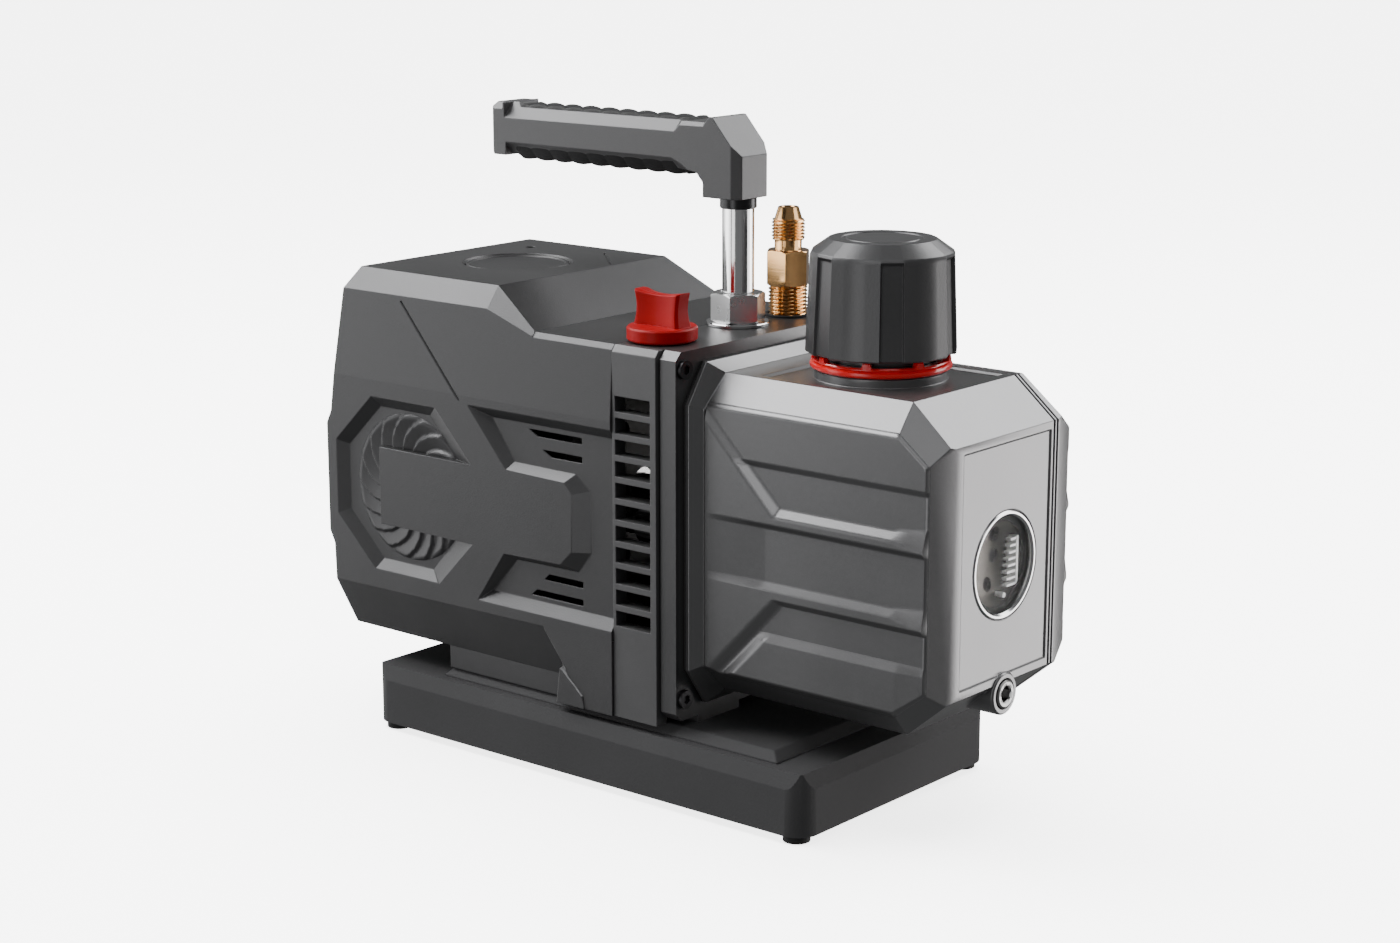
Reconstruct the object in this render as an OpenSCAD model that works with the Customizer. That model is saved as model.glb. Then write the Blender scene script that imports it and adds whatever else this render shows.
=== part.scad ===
// Compact rotary vane vacuum pump with carrying handle.
// Millimetres. +X is the oil tank end, +Z is up. Origin: centre of the whole length, at floor level.

/* [Base] */
// Length of the base tray
base_len = 216; // [200:1:260]
// Width of the base tray
base_wid = 116.4; // [112:0.2:140]
// Height of the tray's top above the floor
base_top = 26.5; // [22:0.5:34]
// Sheet thickness of the tray
base_wall = 3; // [2:0.5:4]
// Height of the rubber feet under the tray
foot_h = 3; // [2:0.5:6]
// Diameter of each rubber foot
foot_dia = 10; // [8:1:14]

/* [Motor housing] */
// Length of the plastic motor shroud ahead of its rear corner
shroud_len = 150.5; // [146:0.5:180]
// Half width of the shroud at its waist
shroud_half = 57; // [56:0.5:64]
// Height of the high top panel
top_z = 183.8; // [181:0.2:200]
// Height of the low deck behind the tank
deck_z = 169.7; // [167:0.1:174]
// Wall thickness of the shroud
wall = 5; // [4.5:0.5:6]
// Depth of the recessed panels on the sides
recess = 3; // [2:0.5:3.5]
// Number of cooling slots in each side of the vent frame
vents = 11; // [7:1:12]
// Length of the vent frame between shroud and flange
vent_len = 21.6; // [18:0.2:26]

/* [Motor and drive] */
// Height of the shaft axis
axis_z = 101.3; // [100:0.1:104]
// Diameter of the motor shaft
shaft_dia = 12; // [10:1:14]
// Outside diameter of the stator pack
stator_dia = 90; // [84:1:92]
// Length of the stator pack
stator_len = 46; // [38:1:50]
// Diameter of the rotor pack
rotor_dia = 49; // [44:1:52]
// Number of fan blades
fan_blades = 9; // [5:1:12]
// Tip diameter of the cooling fan
fan_dia = 84; // [70:1:88]

/* [Pump module] */
// Diameter of the pump rotor
vane_rotor_dia = 38; // [34:1:40]
// Length of the pumping chamber
chamber_len = 34; // [28:1:38]
// Diameter of the chamber bore
chamber_dia = 46; // [43:1:48]
// Thickness of the flange plate
flange_t = 7.3; // [6:0.1:9]

/* [Oil tank] */
// Length of the oil tank
tank_len = 105.2; // [100:0.2:130]
// Half width of the tank sides
tank_half = 46.1; // [44:0.1:50]
// Height of the tank above and below the shaft axis
tank_rise = 59.3; // [56:0.1:62]
// Wall thickness of the tank
tank_wall = 4; // [3.5:0.5:5]
// Diameter of the oil sight window
sight_dia = 35; // [28:1:40]
// Outside diameter of the drain boss
drain_dia = 15.5; // [15:0.5:18]

/* [Top fittings] */
// Outside diameter of the exhaust cap at its rim
cap_dia = 54.7; // [48:0.1:60]
// Height of the exhaust cap
cap_h = 40.6; // [34:0.2:50]
// Outside diameter of the flare thread on the inlet (7/16 or 1/2 inch, 20 turns per inch)
inlet_thread = 12.7; // [11.1, 12.7]
// Outside diameter of the gas ballast knob
knob_dia = 26; // [22:1:28]
// Diameter of the handle post
post_dia = 12; // [10:0.5:12]
// Length of the handle, end to end
grip_len = 126; // [112:1:134]
// Width of the handle
grip_wid = 20; // [18:0.5:24]
// Height of the handle's highest edge above the floor
grip_top = 247.2; // [240:0.2:256]

/* [Hidden] */
$fn = 64;
big = 420;
fit = 0.05;       // running fit, on the radius

// stations along the length, measured from the middle of the base
x_front = 39.6;                       // back face of the flange plate
x_seam = x_front - vent_len;          // vent frame meets the shroud
x_rear = x_seam - shroud_len;         // rearmost edge of the shroud
x_flange = x_front + flange_t;        // front face of the flange plate
gasket_t = 0.8;
x_tank = x_flange + gasket_t;         // back face of the tank flange
x_face = x_flange + tank_len;         // front face of the tank
drain_out = 1.6;                      // how far the drain plug stands proud
x_mid = (x_rear + x_face + drain_out) / 2;
side_x = x_rear + 42.3;               // centre of the octagon, along the length
side_z = axis_z - 2.1;
arm_hi = side_z + 16;                 // top and bottom of the arm beside the slots
arm_lo = side_z - 16.6;
vent_lo = axis_z - 37.4;              // lowest and highest edge of the cooling slots
vent_hi = axis_z + 51;
mains_z = deck_z - 10.7;              // heights of the mains inlet and the switch
switch_z = deck_z - 11.2;
pin_spots = [[-7, -2], [0, 2], [7, -2]];
tank_bot = axis_z - tank_rise;
tank_top = axis_z + tank_rise;
plinth_top = base_top + 3.5;
plinth_rear = 34 - base_len / 2;
plinth_front = base_len / 2 - 16;
plinth_half = base_wid / 2 - 5.7;
post_x = x_front - 13.5;
post_y = 6.4;
ballast_x = x_front - 13.2;
ballast_y = -37.6;
inlet_x = x_front - 11.8;
inlet_y = 34.5;
cap_x = x_flange + 50;
ring_h = 4.6;
drain_z = tank_bot + 10.3;
sight_z = side_z;
x_stator = x_rear + 52;               // rear end of the stator pack
x_bell = x_stator + stator_len + 16;  // front bell's back face
x_couple = x_seam - 17;
chamber_z = axis_z - (chamber_dia - vane_rotor_dia) / 2 + 0.1;
bell_r = stator_dia / 2 + 4;
shroud_screw_spots = [for (sy = [-1, 1], z = [side_z - 37.2, side_z + 38.8]) [sy * 40, z]];
fan_x = x_rear + 18;
x_end = x_flange + chamber_len;        // front face of the pump cylinder
valve_z = chamber_z + 32;
grip_bot = grip_top - 29.7;
tank_screw_spots = concat(
  [for (sy = [-1, 1], sz = [-1, 1]) [sy * (tank_half - 2.9), axis_z + sz * 25]],
  [for (sy = [-1, 1], sz = [-1, 1]) [sy * 28, axis_z + sz * (tank_rise - 3.1)]]);
plate_screw_spots = [for (sy = [-1, 1], z = [axis_z - 60.2, axis_z + 62]) [sy * 50.2, z]];

steel = [0.72, 0.72, 0.74];
alu = [0.55, 0.55, 0.56];
dark = [0.23, 0.23, 0.24];
black = [0.12, 0.12, 0.12];
grey = [0.36, 0.36, 0.37];
red = [0.80, 0.12, 0.12];

// ---------- helpers ----------

// moves from the middle of the base to the middle of the whole length
module put() translate([-x_mid, 0, 0]) children();

// cylinder along X
module xcyl(r, x0, x1, y = 0, z = axis_z)
  translate([x0, y, z]) rotate([0, 90, 0]) cylinder(r = r, h = x1 - x0);

// ring along X
module xring(ro, ri, x0, x1, y = 0, z = axis_z)
  difference() {
    xcyl(ro, x0, x1, y, z);
    xcyl(ri, x0 - 1, x1 + 1, y, z);
  }

// ring along Z
module zring(ro, ri, h)
  difference() {
    cylinder(r = ro, h = h);
    translate([0, 0, -1]) cylinder(r = ri, h = h + 2);
  }

// prism with its outline in the XZ plane, running from y0 to y1
module prism_y(pts, y0, y1)
  translate([0, y1, 0]) rotate([90, 0, 0]) linear_extrude(height = y1 - y0) polygon(pts);

// prism with its outline in the YZ plane, running from x0 to x1
module prism_x(pts, x0, x1)
  translate([x0, 0, 0]) rotate([90, 0, 90]) linear_extrude(height = x1 - x0) polygon(pts);

// prism with its outline in the XY plane, running from z0 to z1
module prism_z(pts, z0, z1)
  translate([0, 0, z0]) linear_extrude(height = z1 - z0) polygon(pts);

// everything beyond the plane through a, b and c, on the side that out points to
module beyond(a, b, c, out) {
  m = cross(b - a, c - a);
  n = m * out < 0 ? -m : m;
  translate(a)
    rotate([0, acos(n.z / norm(n)), atan2(n.y, n.x)])
      translate([-big / 2, -big / 2, 0]) cube(big);
}

module both_sides() {
  children();
  mirror([0, 1, 0]) children();
}

// closes a half outline of (y, z) points by adding its mirror image
function mirrored(half) = concat(half, [for (i = [len(half) - 1:-1:0]) [-half[i].x, half[i].y]]);

function box_pts(x0, x1, y0, y1) = [[x0, y0], [x1, y0], [x1, y1], [x0, y1]];

// rectangle with cut corners
function cut_box(hx, hy, c) = [
  [hx, c - hy], [hx, hy - c], [hx - c, hy], [c - hx, hy],
  [-hx, hy - c], [-hx, c - hy], [c - hx, -hy], [hx - c, -hy]];

// octagon with flats at distance f
function octagon(f) = [for (i = [0:7]) f / cos(22.5) * [cos(45 * i + 22.5), sin(45 * i + 22.5)]];

function shifted(pts, d) = [for (p = pts) p + d];

// ---------- base ----------

foot_spots = [for (sx = [-1, 1], sy = [-1, 1])
  [sx * (base_len / 2 - 7.5), sy * (base_wid / 2 - 6.5)]];
rear_bolts = [for (sy = [-1, 1]) [x_stator + 25.5, sy * 36.5]];
front_bolts = [for (sy = [-1, 1]) [x_front - 4, sy * 30]];
bolt_spots = concat(rear_bolts, front_bolts);

module tray_form(grow, z0, z1) {
  hx = base_len / 2 + grow;
  hy = base_wid / 2 + grow;
  r = 8 + grow;
  for (sx = [-1, 1], sy = [-1, 1])
    translate([sx * (hx - r), sy * (hy - r), z0]) cylinder(r = r, h = z1 - z0);
  prism_z(box_pts(-hx, hx, r - hy, hy - r), z0, z1);
  prism_z(box_pts(r - hx, hx - r, -hy, hy), z0, z1);
}

module base_tray() color(dark) put() difference() {
  tray_form(0, foot_h, base_top);
  difference() {
    tray_form(-base_wall, foot_h - 1, base_top - base_wall);
    for (p = foot_spots) translate([p.x, p.y, 0]) cylinder(r = 6, h = base_top);
    for (p = bolt_spots) translate([p.x, p.y, 0]) zring(11, 8.2, base_top);
  }
  for (p = foot_spots) translate([p.x, p.y, 0]) cylinder(r = 2.05, h = foot_h + 11);
  for (p = bolt_spots) translate([p.x, p.y, 0]) cylinder(r = 3.1, h = base_top + 1);
  // sloped shoulder all round the top edge
  both_sides()
    beyond([0, base_wid / 2, base_top - 6], [0, base_wid / 2 - 2, base_top],
           [9, base_wid / 2 - 2, base_top], [0, 1, 0]);
  for (m = [0, 1]) mirror([m, 0, 0])
    beyond([base_len / 2, 0, base_top - 6], [base_len / 2, 9, base_top - 6],
           [base_len / 2 - 2, 9, base_top], [1, 0, 0]);
}

module rubber_feet() color(black) put()
  for (p = foot_spots) translate([p.x, p.y, 0]) difference() {
    cylinder(r = foot_dia / 2, h = foot_h);
    translate([0, 0, -1]) cylinder(r = 3.2, h = foot_h - 0.2);
    cylinder(r = 2.05, h = foot_h + 1);
  }

module foot_screws() color(steel) put()
  for (p = foot_spots) translate([p.x, p.y, 0]) difference() {
    union() {
      translate([0, 0, foot_h - 1.2]) cylinder(r = 2, h = 10);
      translate([0, 0, foot_h - 2.2]) cylinder(r = 3.1, h = 1);
    }
    translate([0, 0, foot_h - 3.2]) cylinder(r = 1.2, h = 2.5, $fn = 6);
  }

module mounting_plinth() color(dark) put() difference() {
  prism_z(box_pts(plinth_rear, plinth_front, -plinth_half, plinth_half), base_top, plinth_top);
  both_sides()
    beyond([0, plinth_half, base_top + 0.5], [0, plinth_half - 3.7, plinth_top],
           [9, plinth_half - 3.7, plinth_top], [0, 1, 0]);
  beyond([plinth_front, 0, base_top + 0.5], [plinth_front, 9, base_top + 0.5],
         [plinth_front - 4, 9, plinth_top], [1, 0, 0]);
  beyond([plinth_rear, 0, base_top + 0.5], [plinth_rear, 9, base_top + 0.5],
         [plinth_rear + 3, 9, plinth_top], [-1, 0, 0]);
  for (p = bolt_spots) translate([p.x, p.y, 0]) cylinder(r = 3.1, h = big);
}

module plinth_bolt(top) difference() {
  union() {
    translate([0, 0, base_top - base_wall - 1.6]) cylinder(r = 6, h = 1.6);
    translate([0, 0, base_top - base_wall - 7.6]) cylinder(r = 5, h = 6);
    translate([0, 0, base_top - base_wall - 2]) cylinder(r = 3, h = top - base_top + base_wall + 2);
  }
  translate([0, 0, base_top - base_wall - 8.6]) cylinder(r = 2.9, h = 4, $fn = 6);
}

module plinth_bolts() color(steel) put() {
  for (p = rear_bolts) translate([p.x, p.y, 0]) {
    plinth_bolt(plinth_top + 9);
    translate([0, 0, plinth_top + 3]) cylinder(r = 5.4, h = 5, $fn = 6);
  }
  for (p = front_bolts) translate([p.x, p.y, 0]) plinth_bolt(plinth_top + 8);
}

module motor_foot() color(steel) put() difference() {
  prism_x([[26, plinth_top], [43, plinth_top], [43, plinth_top + 3], [30, plinth_top + 3],
           [30, 74], [26, 74], [26, plinth_top + 3], [-26, plinth_top + 3],
           [-26, 74], [-30, 74], [-30, plinth_top + 3], [-43, plinth_top + 3], [-43, plinth_top]],
          x_stator + 15, x_stator + 36);
  xcyl(bell_r, -big, big);
  for (p = rear_bolts) translate([p.x, p.y, 0]) cylinder(r = 3.1, h = 60);
}

// ---------- motor housing ----------

// side view outline of the shroud, drawn in by t
function shroud_side(t) = [
  [x_rear + 8.1 + t, 39 + t], [x_rear + 3 + t, 57], [x_rear + 2.5 + t, 72], [x_rear + t, 77],
  [x_rear + t, 121], [x_rear + 2.5 + t, 126], [x_rear + 9.9 + t, top_z - 8],
  [x_rear + 12.9 + t, top_z - t], [x_rear + 87.3 - 0.4 * t, top_z - t],
  [x_rear + 111.5 - 0.4 * t, deck_z - t], [x_seam + 1, deck_z - t],
  [x_seam + 1, plinth_top], [x_rear + 60.5 + t, plinth_top], [x_rear + 60.5 + t, 39 + t]];

// cross-section of the shroud, drawn in by t
function shroud_end(t) = mirrored([
  [shroud_half - 6 - t, plinth_top - 1], [shroud_half - 6 - t, 39], [shroud_half - t, 57],
  [shroud_half - t, 141.5], [shroud_half - 1.8 - t, top_z - 8], [shroud_half - 9 - t, top_z]]);

module shroud_solid(t) intersection() {
  prism_y(shroud_side(t), -big / 2, big / 2);
  prism_x(shroud_end(t), -big / 2, x_seam + (t > 0 ? 1 : 0));
}

// octagonal panel with the arm that reaches forward, and the panel around the slots
module side_panels() {
  y0 = shroud_half - recess;
  panel_hi = side_z + 38.8;
  panel_lo = side_z - 33.2;
  // octagon pocket
  difference() {
    prism_y(shifted(octagon(35.6), [side_x, side_z]), y0, big);
    prism_y(box_pts(side_x - 15, side_x + 60, arm_lo + 1.5, arm_hi), y0 - 1, big);
  }
  // slotted panel in front of the octagon
  prism_y([[side_x + 33, panel_hi], [x_seam + 1, panel_hi], [x_seam + 1, panel_lo],
           [side_x + 37, panel_lo], [side_x + 55, arm_lo], [x_seam - 21, arm_lo],
           [x_seam - 14, arm_lo + 5.4], [x_seam - 14, arm_hi - 5.2], [x_seam - 21, arm_hi],
           [side_x + 55.5, arm_hi]], y0, big);
  // sloped ledge under the slotted panel
  prism_x([[y0, panel_lo + 1], [y0 + recess + 1, panel_lo - 6],
           [y0 + recess + 20, panel_lo - 6], [y0 + recess + 20, panel_lo + 1]],
          side_x + 39, x_seam + 1);
  // cooling slots above and below the arm: how far they run back, and their height
  for (s = [[2, 31.7], [10, 25], [9, -20.8], [2, -28]])
    prism_y(shifted([[s.x - 43, 0], [-14, 0], [-14, -2.4], [s.x - 40, -2.4]],
                    [x_seam, side_z + s.y]), shroud_half - 27, big);
}

module motor_shroud() color(grey) put() difference() {
  shroud_solid(0);
  shroud_solid(wall);
  both_sides() {
    // chamfer down the sloping front of the high part
    intersection() {
      beyond([x_rear + 87.3, shroud_half - 9, top_z], [x_rear + 88, shroud_half - 1.8, top_z - 8],
             [x_rear + 111.5, shroud_half - 3, deck_z], [0, 1, 1]);
      prism_z(box_pts(x_rear + 80, x_rear + 111.5, 0, big), axis_z, big);
    }
    side_panels();
  }
  both_sides()
    prism_x([[shroud_half - 3, deck_z], [shroud_half - 1, deck_z - 2.5],
             [shroud_half + 9, deck_z - 2.5], [shroud_half + 9, deck_z]],
            x_rear + 111, x_seam + 1);
  // air intake and screw seats in the rear wall
  xcyl(36, x_rear - 9, x_rear + wall + 1);
  for (p = shroud_screw_spots) {
    xcyl(3.7, x_rear - 9, x_rear + 6, p.x, p.y);
    xcyl(2.2, x_rear - 9, x_rear + 12, p.x, p.y);
  }
  // seat for the round disc, and a small hole beside it
  translate([x_rear + 52, -0.5, top_z - 2]) cylinder(r = 21.6, h = 9);
  translate([x_rear + 29.4, 31, top_z - wall - 9]) cylinder(r = 2, h = 20);
  // openings for the mains inlet and the switch, on the far side
  prism_y(box_pts(x_rear + 21.8, x_rear + 49.2, mains_z - 10.2, mains_z + 10.2), 40, big);
  prism_y(box_pts(x_rear + 19.4, x_rear + 51.6, mains_z - 12.8, mains_z + 12.8),
          shroud_half - 1.8, big);
  prism_y(box_pts(x_rear + 60.8, x_rear + 80.2, switch_z - 6.7, switch_z + 6.7), 40, big);
  prism_y(box_pts(x_rear + 59.3, x_rear + 81.7, switch_z - 8.3, switch_z + 8.3),
          shroud_half - 1.8, big);
}

module vent_frame() color(dark) put() {
  slot_p = (vent_hi - vent_lo) / vents;
  difference() {
    prism_x(mirrored([[shroud_half - 1, plinth_top], [shroud_half - 1, deck_z - 2.5],
                      [shroud_half - 3, deck_z]]), x_seam, x_front - 0.8);
    prism_x(mirrored([[shroud_half - 7, plinth_top - 1], [shroud_half - 7, deck_z - 8],
                      [shroud_half - 9, deck_z - 6]]), x_seam - 1, x_front);
    for (i = [0:vents - 1])
      prism_y(box_pts(x_seam + 1.4, x_front - 3.6, vent_lo + i * slot_p + 1.2,
                      vent_lo + (i + 1) * slot_p - 1.2), -big / 2, big / 2);
    // window for the top of the pump casting
    prism_z(box_pts(x_seam - 1, x_front + 1, -51.2, 46.2), deck_z - 12, deck_z + 1);
  }
}

module rear_grille() color(dark) put() {
  xring(35.8, 31, x_rear + 0.3, x_rear + wall);
  for (r = [9, 16.5, 24]) xring(r, r - 2.4, x_rear + 1, x_rear + 4);
  difference() {
    for (a = [0:30:150]) translate([0, 0, axis_z]) rotate([a, 0, 0])
      translate([x_rear + 1.5, -1.2, -32]) cube([2.5, 2.4, 64]);
    xcyl(7, x_rear, x_rear + 9);
  }
}

module shroud_screws() color(steel) put()
  for (p = shroud_screw_spots) difference() {
    union() {
      xcyl(3.4, x_rear + 3.6, x_rear + 6, p.x, p.y);
      xcyl(2, x_rear + 6, x_rear + 18, p.x, p.y);
    }
    translate([x_rear + 3, p.x - 0.5, p.y - 3]) cube([1.4, 1, 6]);
    translate([x_rear + 3, p.x - 3, p.y - 0.5]) cube([1.4, 6, 1]);
  }

module top_disc() color(dark) put()
  translate([x_rear + 52, -0.5, top_z - 2]) difference() {
    cylinder(r = 21.2, h = 1.6);
    translate([0, 0, 0.8]) cylinder(r = 18.5, h = 9);
  }

// ---------- motor ----------

module motor_case() color(alu) put() difference() {
  xring(bell_r, stator_dia / 2, x_stator - 16, x_bell);
  // opening for the leads
  translate([x_stator - 12, -6, axis_z + 20]) cube([10, 12, 60]);
}

module bell_plate(x0, x1, brg0, brg1) difference() {
  union() {
    xcyl(bell_r, x0, x1);
    xcyl(18, brg0, brg1);
  }
  xcyl(14 + fit, brg0 - 1, brg1 - 2);
  xcyl(9, x0 - 20, x1 + 20);
  for (a = [0:60:300]) rotate_axis(a) xcyl(6, x0 - 1, x1 + 1, 0, axis_z + 32);
}

module rotate_axis(a)
  translate([0, 0, axis_z]) rotate([a, 0, 0]) translate([0, 0, -axis_z]) children();

module rear_bell() color(alu) put() {
  bell_plate(x_stator - 20, x_stator - 16, x_stator - 20, x_stator - 10);
  for (p = shroud_screw_spots) {
    d = norm([p.x, p.y - axis_z]);
    difference() {
      union() {
        xcyl(4, x_rear + 10.4, x_stator - 16, p.x, p.y);
        translate([x_stator - 20, 0, axis_z])
          rotate([atan2(p.y - axis_z, p.x), 0, 0])
            translate([0.4, bell_r - 6, -3]) cube([3.2, d - bell_r + 6, 6]);
      }
      xcyl(2.05, x_rear + 9, x_rear + 20, p.x, p.y);
    }
  }
}

module front_bell() color(alu) put() difference() {
  union() {
    xcyl(bell_r, x_bell, x_bell + 4);
    xcyl(18, x_bell - 6, x_bell + 4);
    // three arms carry the motor from the pump casting
    for (a = [90, 210, 330]) rotate_axis(a) xcyl(5, x_bell, x_seam + 3, 0, axis_z + 40);
  }
  xcyl(14 + fit, x_bell - 7, x_bell + 2);
  xcyl(9, x_bell - 20, x_bell + 20);
  for (a = [0:60:300]) rotate_axis(a + 30) xcyl(5, x_bell - 1, x_bell + 5, 0, axis_z + 28);
}

module stator_core() color(steel) put() difference() {
  xring(stator_dia / 2 - fit, rotor_dia / 2 + 0.5, x_stator, x_stator + stator_len);
  for (i = [0:23]) rotate_axis(15 * i)
    translate([x_stator - 1, -1.6, axis_z + rotor_dia / 2 + 2.5]) cube([stator_len + 2, 3.2, 9]);
}

module windings() color([0.62, 0.33, 0.14]) put() {
  for (x = [x_stator - 12, x_stator + stator_len + 0.3]) translate([x, 0, axis_z])
    rotate([0, 90, 0]) rotate_extrude() polygon(shifted(cut_box(6.5, 5.8, 2), [32.5, 5.8]));
  for (i = [0:23]) rotate_axis(15 * i)
    translate([x_stator - 0.6, -1.5, axis_z + rotor_dia / 2 + 2.7]) cube([stator_len + 1.2, 3, 8.6]);
}

module rotor_core() color(steel) put() difference() {
  xring(rotor_dia / 2, shaft_dia / 2, x_stator, x_stator + stator_len);
  for (i = [0:7]) rotate_axis(45 * i) xcyl(2.2, x_stator - 1, x_stator + stator_len + 1, 0, axis_z + 17);
}

module motor_shaft() color(steel) put()
  xcyl(shaft_dia / 2, fan_x - 3, x_couple + 11.8);

module bearing(x)
  xring(14, shaft_dia / 2 + fit, x, x + 8);

module rear_bearing() color(steel) put() bearing(x_stator - 20);

module front_bearing() color(steel) put() bearing(x_bell - 6);

module cooling_fan() color(black) put() {
  xring(11, shaft_dia / 2, fan_x, fan_x + 12);
  for (i = [0:fan_blades - 1]) rotate_axis(360 / fan_blades * i)
    translate([fan_x + 6, 0, axis_z]) rotate([0, 0, 38])
      translate([-6, -0.9, 9]) cube([12, 1.8, fan_dia / 2 - 10.5]);
}

module capacitor() color(black) put() {
  difference() {
    xcyl(12, x_rear + 34, x_rear + 80, -22, 162);
    xcyl(9, x_rear + 78.5, x_rear + 81, -22, 162);
  }
  for (dy = [-4, 4])
    translate([x_rear + 78, -22 + dy - 0.4, 159]) cube([8, 0.8, 6]);
}

// ---------- drive and pump ----------

module shaft_coupling() color(alu) put() difference() {
  xcyl(13, x_couple, x_couple + 24);
  xcyl(shaft_dia / 2, x_couple - 1, x_couple + 25);
  xring(14, 12, x_couple + 11.3, x_couple + 12.7);
}

module pump_shaft() color(steel) put()
  xcyl(shaft_dia / 2, x_couple + 12.2, x_end + 4);

module support_casting() color(alu) put() difference() {
  union() {
    // flange plate
    prism_x(shifted(cut_box(54.5, deck_z - axis_z, 3), [0, axis_z]), x_front, x_flange);
    // bearing hub and its webs
    xcyl(24, x_seam + 8, x_front);
    for (a = [90, 210, 330]) rotate_axis(a) xcyl(7.5, x_seam + 3, x_front, 0, axis_z + 40);
    for (a = [90, 210, 330]) rotate_axis(a)
      translate([x_seam + 12, -4, axis_z + 18]) cube([x_front - x_seam - 12, 8, 20]);
    // top pad that carries the inlet, the handle and the gas ballast
    prism_z(box_pts(x_seam + 0.3, x_front, -51, 46), deck_z - 9, deck_z);
    prism_z(box_pts(x_seam + 14, x_front, -10, 20), axis_z + 12, deck_z - 8);
    // feet
    prism_z(box_pts(x_seam + 10, x_flange, -42, -18), plinth_top, axis_z - 60);
    prism_z(box_pts(x_seam + 10, x_flange, 18, 42), plinth_top, axis_z - 60);
  }
  xcyl(shaft_dia / 2 + fit, x_seam, x_flange + 1);
  xcyl(11, x_seam + 7, x_seam + 15);
  for (p = plate_screw_spots) xcyl(2.7, x_front - 1, x_flange + 1, p.x, p.y);
  for (p = tank_screw_spots) xcyl(2.05, x_front - 1, x_flange + 1, p.x, p.y);
  translate([post_x, post_y, deck_z - 10]) cylinder(r = post_dia / 2 + fit, h = 20);
  translate([ballast_x, ballast_y, deck_z - 9]) cylinder(r = 5 + fit, h = 20);
  translate([inlet_x, inlet_y, deck_z - 9]) cylinder(r = 7.5, h = 20);
  // suction passage down to the chamber
  translate([inlet_x, inlet_y, deck_z - 10.5]) cylinder(r = 2.5, h = 20);
  for (a = [90, 210, 330]) rotate_axis(a) xcyl(2, x_seam, x_seam + 14, 0, axis_z + 40);
  for (p = front_bolts) translate([p.x, p.y, 0]) cylinder(r = 3.05, h = plinth_top + 9);
  // oil gallery notch under the plate
  prism_z(box_pts(x_seam, x_front + 30, -12, 12), 0, axis_z - 68);
}

module socket_screw(r, head_r, head_x, shank_x, y, z) difference() {
  union() {
    xcyl(head_r, head_x, head_x + 1.6, y, z);
    xcyl(r, shank_x, head_x, y, z);
  }
  translate([head_x + 0.5, y, z]) rotate([0, 90, 0]) cylinder(r = head_r * 0.52, h = 9, $fn = 6);
}

module support_screws() color(steel) put()
  for (p = plate_screw_spots)
    socket_screw(2.6, 3.5, x_flange, x_front - 0.6, p.x, p.y);

module shaft_seal() color(black) put()
  xring(11, shaft_dia / 2 + fit, x_seam + 8, x_seam + 15);

module pump_cylinder() color([0.4, 0.4, 0.41]) put() difference() {
  xcyl(35, x_flange, x_end, 0, chamber_z);
  xcyl(chamber_dia / 2, x_flange - 1, x_end + 1, 0, chamber_z);
  for (a = [45:90:315]) rotate_axis(a) xcyl(2.1, x_flange - 1, x_end + 1, 0, axis_z + 29.5);
  // inlet and outlet ports
  for (sy = [-1, 1])
    translate([x_flange + chamber_len / 2, sy * 9, axis_z + 10]) cylinder(r = 2.5, h = 40);
  prism_z(box_pts(x_flange + 5, x_end - 5, -14, 14), chamber_z + 32, big);
}

module pump_rotor() color(steel) put() difference() {
  xring(vane_rotor_dia / 2, shaft_dia / 2, x_flange + 0.05, x_end - 0.05);
  for (a = [0, 180]) rotate_axis(a)
    translate([x_flange - 1, -2.05, axis_z + 7.5]) cube([chamber_len + 2, 4.1, 20]);
}

module pump_vanes() color([0.45, 0.3, 0.2]) put()
  for (a = [0, 180]) rotate_axis(a)
    translate([x_flange + 0.1, -2, axis_z + 11]) cube([chamber_len - 0.2, 4, vane_rotor_dia / 2 - 11.25]);

module vane_springs() color(steel) put()
  for (a = [0, 180], k = [-1, 1]) rotate_axis(a)
    translate([x_flange + chamber_len * (0.5 + 0.25 * k), 0, axis_z + 7.6]) zring(1.6, 0.9, 3.4);

module end_cover() color(alu) put() difference() {
  union() {
    xcyl(35, x_end, x_end + 6, 0, chamber_z);
    xcyl(14, x_end + 6, x_end + 10);
  }
  xcyl(shaft_dia / 2 + fit, x_end - 1, x_end + 5);
  for (a = [45:90:315]) rotate_axis(a) xcyl(2.1, x_end - 1, x_end + 7, 0, axis_z + 29.5);
}

module pump_bolts() color(steel) put()
  for (a = [45:90:315]) rotate_axis(a) difference() {
    union() {
      xcyl(2, x_flange, x_end + 6, 0, axis_z + 29.5);
      xcyl(3.5, x_end + 6, x_end + 10, 0, axis_z + 29.5);
    }
    translate([x_end + 8, 0, axis_z + 29.5]) rotate([0, 90, 0]) cylinder(r = 1.6, h = 9, $fn = 6);
  }

module discharge_valve() color(steel) put()
  prism_z(box_pts(x_flange + 7, x_end - 7, -12.5, 12.5), valve_z, valve_z + 0.4);

module valve_stop() color(steel) put() difference() {
  union() {
    prism_z(box_pts(x_flange + 7, x_end - 7, -12.5, 12.5), valve_z + 0.4, valve_z + 2);
    for (dx = [-7, 7])
      translate([x_flange + chamber_len / 2 + dx, 0, valve_z + 2]) cylinder(r = 2.6, h = 2);
  }
  for (dx = [-7, 7])
    translate([x_flange + chamber_len / 2 + dx, 0, valve_z + 3]) cylinder(r = 1.3, h = 2, $fn = 6);
}

// ---------- oil tank ----------

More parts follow.
